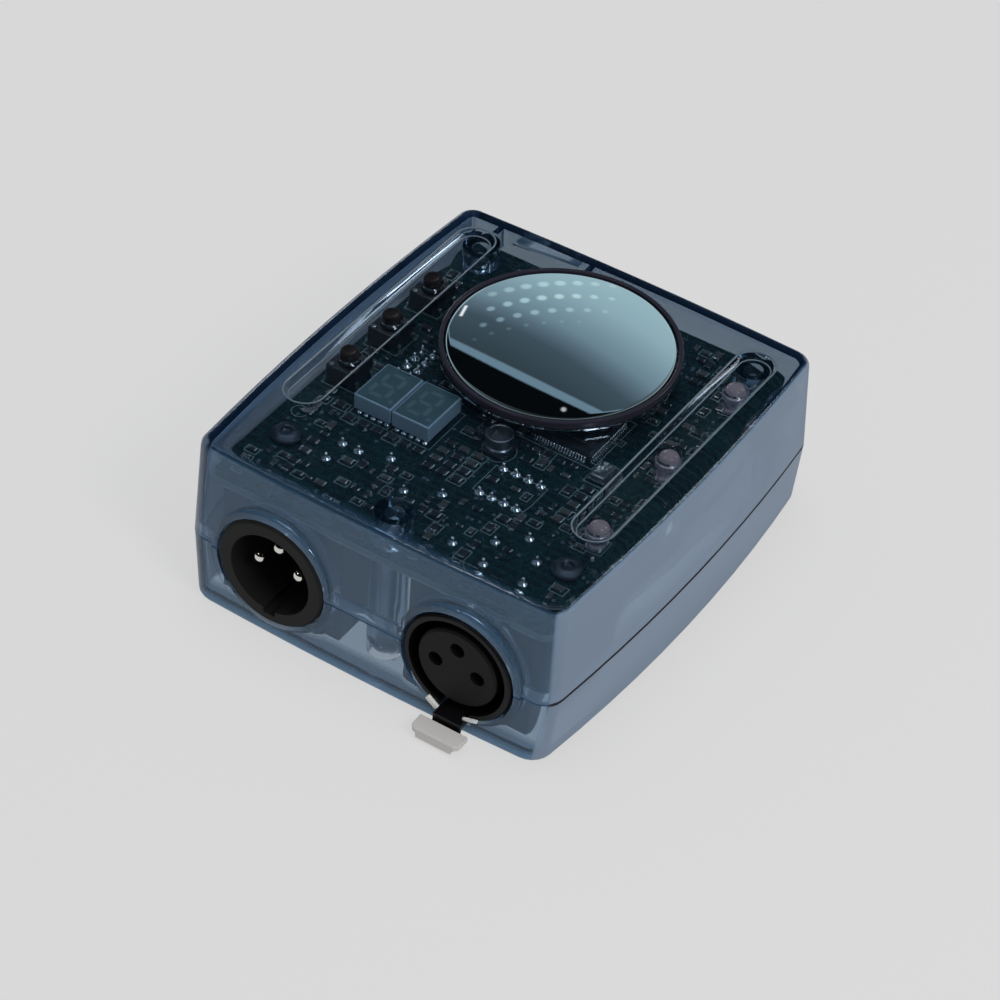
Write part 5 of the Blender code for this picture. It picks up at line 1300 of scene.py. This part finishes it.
class CONTROLLER_OT_stage(Undoable, bpy.types.Operator):
    """Makes the floor, the surroundings, the lamps and the camera"""

    bl_idname = "controller.stage"
    bl_label = "Stage"

    @checked(9)
    def execute(self, context):
        look = context.scene.stage_look
        self.floor(look)
        self.world(context.scene, look)
        self.lamp("key_lamp", look.key, (0.62, -0.22, 0.62), 0.26, "diffuse")
        self.lamp("top_lamp", look.top, (-0.05, 0.05, 1.1), 1.0, "diffuse")
        self.lamp("spark_lamp", 0.5, (-0.35, -0.60, 0.85), 0.12, "glossy")
        for name, place, size in (("right_rim", (0.60, 0.64, 0.48), 0.24),
                                  ("left_rim", (-0.72, 0.64, 0.27), 0.22)):
            self.lamp(name, look.rim * math.pi * size ** 2, place, size, "glossy")
        self.panel(look)
        self.sky(look)
        self.camera(context.scene)

    def floor(self, look):
        """A round floor, flat and 3 m in radius."""
        radius = np.linspace(0, 3.0, 12)
        angle = np.arange(96) * ROUND / 96
        grid = np.stack(np.broadcast_arrays(radius[:, None] * np.cos(angle),
                                            radius[:, None] * np.sin(angle), -0.2 * MM), -1)
        mesh = bpy.data.meshes.new("floor")
        mesh.from_pydata(grid.reshape(-1, 3), [], grid_quads(12, 96, False).tolist())
        settle(mesh)
        made, start = material("pale_floor")
        where = position(start)
        tone = blend(start, noise(start, where, 9.0), darker(look.floor, 0.995), tuple(look.floor))
        lit = start.node("ShaderNodeBsdfDiffuse", inputs={"Color": tone})
        far = start.node("ShaderNodeVectorMath", {"operation": "LENGTH"}, {0: where}, "Value")
        plain = start.node("ShaderNodeEmission",
                           inputs={"Color": tuple(look.floor), "Strength": 1.0})
        reach = start.math("MAXIMUM", ramp(start, far, 0.16, 0.6), look.plain)
        finished(start, mixed(start, reach, lit, plain))
        mesh.materials.append(made)
        placed("floor", mesh)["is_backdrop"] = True

    def world(self, scene, look):
        """Pale to the camera, darker upwards in gloss and through glass, and an even fill else."""
        world = bpy.data.worlds.new("studio")
        world.use_nodes = True
        world.node_tree.nodes.clear()
        start = Signal(world.node_tree)
        around = start.node("ShaderNodeTexCoord", output="Generated")
        upward = start.node("ShaderNodeSeparateXYZ", inputs={0: around}, output="Z")
        low = ((0.0, tuple(look.floor)), (0.06, darker(look.floor, 0.9)))
        studio, inside = (
            start.node("ShaderNodeValToRGB", {"stops": low + high}, {0: upward}, "Color")
            for high in (((0.22, darker(look.floor, 0.12)), (0.40, (0.006, 0.007, 0.008))),
                         ((0.3, (0.13, 0.17, 0.21)), (0.6, (0.08, 0.11, 0.14)))))
        shade = blend(start, ray(start, "Glossy"), darker((0.98, 0.99, 1.0), look.fill), studio)
        shade = blend(start, ray(start, "Transmission"), shade, inside)
        shade = blend(start, ray(start, "Camera"), shade, tuple(look.floor))
        back = start.node("ShaderNodeBackground", inputs={"Color": shade})
        output = world.node_tree.nodes.new("ShaderNodeOutputWorld")
        world.node_tree.links.new(back.socket, output.inputs["Surface"])
        scene.world = world

    def lamp(self, name, power, place, size, seen):
        """A square soft lamp that faces the controller. One that is seen as diffuse only lights
        things, and one that is seen as glossy only shows in their gloss, and not in the cap's."""
        data = bpy.data.lights.new(name, "AREA")
        data.energy = power
        data.size = size
        made = placed(name, data)
        made.location = place
        made.rotation_mode = "QUATERNION"
        made.rotation_quaternion = made.location.to_track_quat("Z", "Y")
        made.visible_glossy = seen == "glossy"
        made.visible_diffuse = seen == "diffuse"
        if seen == "glossy":
            link_cap(made).collection_objects[0].light_linking.link_state = "EXCLUDE"

    def panel(self, look):
        """A curved panel that only the cap reflects. Point (x, y) of the grid is where the camera's
        line of sight goes from the crown's point (x, y): P + 0.7 r, with the reflected direction
        r = d - 2 (d . n) n. So the panel's pattern is laid out in millimetres of the cap."""
        _, top, sphere = crown_sphere()
        centre = middle("dome_cap") * (1, 1, 0)
        span = np.linspace(-22, 22, 221)
        x, y = np.meshgrid(span, span)
        rise = np.sqrt(sphere ** 2 - (x ** 2 + y ** 2) * MM ** 2)
        normal = np.stack([x * MM, y * MM, rise], -1) / sphere
        place = normal * sphere + centre + (0, 0, top - sphere)
        sight = place - CAMERA
        sight /= np.linalg.norm(sight, axis=-1, keepdims=True)
        away = sight - 2 * (sight * normal).sum(-1, keepdims=True) * normal
        rows, columns = x.shape
        quads = grid_quads(rows, columns, False).reshape(rows - 1, columns, 4)[:, :-1]
        self.reflected("cap_panel", place + 0.7 * away, quads.reshape(-1, 4), self.glow(x, y),
                       look.panel)

    def sky(self, look):
        """A dome behind the panel that only the cap reflects: its ring i is at elevation e_i, and
        its glow falls from the horizon to black overhead, so that the cap shades softly."""
        rise = np.linspace(0.1, math.pi / 2 - 0.02, 24)
        grid = turned(np.stack([np.cos(rise), np.sin(rise)], -1) * 1.6, 72)
        level = np.interp(rise, (0.1, 0.5, 0.9, 1.3), (0.55, 0.30, 0.10, 0.02))
        glow = np.broadcast_to(level[:, None, None] * (0.74, 1.0, 1.1), grid.shape)
        self.reflected("cap_sky", grid, grid_quads(24, 72, False), glow, look.panel)

    def reflected(self, name, points, quads, glow, strength):
        """A glowing surface that only the cap reflects."""
        mesh = bpy.data.meshes.new(name)
        mesh.from_pydata(points.reshape(-1, 3), [], quads.tolist())
        layer = mesh.color_attributes.new("panel_glow", "FLOAT_COLOR", "POINT")
        shade = np.concatenate([glow, np.ones((*glow.shape[:2], 1))], -1)
        layer.data.foreach_set("color", shade.ravel())
        made, start = material(name)
        shade = start.node("ShaderNodeVertexColor", {"layer_name": "panel_glow"}, output="Color")
        finished(start, start.node("ShaderNodeEmission",
                                   inputs={"Color": shade, "Strength": strength}))
        mesh.materials.append(made)
        made = placed(name, mesh)
        for kind in ("camera", "diffuse", "shadow", "transmission"):
            setattr(made, "visible_" + kind, False)
        link_cap(made)
        made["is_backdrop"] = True

    def glow(self, x, y):
        """Brighter to the rear and right, black in front of a pale line, with rows of soft dots."""
        glow = np.interp(y + 0.1 * x, GLOW_AT, GLOW)
        for row_x, row_y, wide, bright in DOT_ROWS:
            for step in range(-4, 4):
                bend = ROW_BEND * step ** 2
                dot_x, dot_y = row_x + DOT_STEP[0] * step + bend, row_y + DOT_STEP[1] * step - bend
                size = wide * (1 - SIZE_FADE * (step + 1) ** 2)
                light = bright * (1 - LIGHT_FADE * (step + 1) ** 2)
                away = np.hypot(x - dot_x, y - dot_y) / size
                glow = glow + light * np.clip(2.2 - 2 * away, 0, 1)
        tint = np.stack([0.62 + 0.12 * np.clip(glow, 0, 1), np.ones_like(glow),
                         1.30 - 0.4 * glow], -1)
        bow = (x - 2) ** 2
        line = np.clip((y - (0.007 * bow - 14.5)) * 4, 0, 1)
        field = np.clip((y - (0.006 * bow - 12.8)) * 4, 0, 1)
        glow = glow * field + 0.23 * line * (1 - field) + 0.003
        dot = np.clip(2.2 - 4.0 * np.hypot(x - 10.3, y + 15.4), 0, 1)
        streak = np.clip(1.6 - 4 * np.abs(x + 18.7 + 0.28 * (y + 3.1)), 0, 1)
        streak = streak * (np.abs(y + 3.1) < 1.6)
        return tint * glow[..., None] + (0.5 * dot + 0.9 * streak)[..., None]

    def camera(self, scene):
        """Stands at the photograph's viewing angle."""
        azimuth, elevation, roll = np.radians(VIEW_ANGLES)
        right = np.array([math.cos(azimuth), math.sin(azimuth), 0.0])
        back = np.array([math.sin(azimuth) * math.cos(elevation),
                         -math.cos(azimuth) * math.cos(elevation), math.sin(elevation)])
        up = np.cross(back, right)
        turned_right = math.cos(roll) * right + math.sin(roll) * up
        turned_up = -math.sin(roll) * right + math.cos(roll) * up
        data = bpy.data.cameras.new("camera")
        data.sensor_width = SENSOR
        data.lens = FOCAL_LENGTH
        data.clip_start = 10 * MM
        scene.camera = placed("camera", data)
        axes = np.column_stack([turned_right, turned_up, back, CAMERA])
        scene.camera.matrix_world = Matrix([*axes.tolist(), (0, 0, 0, 1)])


def link_cap(made):
    """Links a lamp or a glowing surface to the cap alone, in a collection that it returns."""
    linked = bpy.data.collections.new(made.name + "_cap")
    linked.objects.link(bpy.data.objects["cap"])
    made.light_linking.receiver_collection = linked
    return linked


OPERATORS = [CONTROLLER_OT_shells, CONTROLLER_OT_lips, CONTROLLER_OT_cap, CONTROLLER_OT_sockets,
             CONTROLLER_OT_latch, CONTROLLER_OT_board, CONTROLLER_OT_small_parts,
             CONTROLLER_OT_chips, CONTROLLER_OT_display, CONTROLLER_OT_buttons,
             CONTROLLER_OT_lights, CONTROLLER_OT_fixings, CONTROLLER_OT_stage]


class VIEW3D_PT_controller(bpy.types.Panel):
    """Lists the pieces and their sizes and colours"""

    bl_label = "Controller"
    bl_space_type = "VIEW_3D"
    bl_region_type = "UI"
    bl_category = "Controller"

    def draw(self, context):
        for operator in OPERATORS:
            self.layout.operator(operator.bl_idname)
        for name, group in LOOKS.items():
            box = self.layout.box()
            for field in group.__annotations__:
                box.prop(getattr(context.scene, name), field)


def register():
    for made in (*LOOKS.values(), *OPERATORS, VIEW3D_PT_controller):
        bpy.utils.register_class(made)
    for name, group in LOOKS.items():
        setattr(bpy.types.Scene, name, bpy.props.PointerProperty(type=group))


def unregister():
    for name in LOOKS:
        delattr(bpy.types.Scene, name)
    for made in (VIEW3D_PT_controller, *reversed(OPERATORS), *reversed(LOOKS.values())):
        bpy.utils.unregister_class(made)


def corners():
    """Lowest and highest corner of everything shown, as plain lists."""
    return [list(corner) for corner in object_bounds()]


def main():
    """Builds every piece in order."""
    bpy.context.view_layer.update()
    register()
    bpy.context.scene.view_settings.view_transform = "Standard"
    plated("plated_steel", bpy.context.scene.top_look.steel, 0.3)
    for operator in OPERATORS:
        group, name = operator.bl_idname.split(".")
        getattr(getattr(bpy.ops, group), name)()


if __name__ == "__main__":
    main()
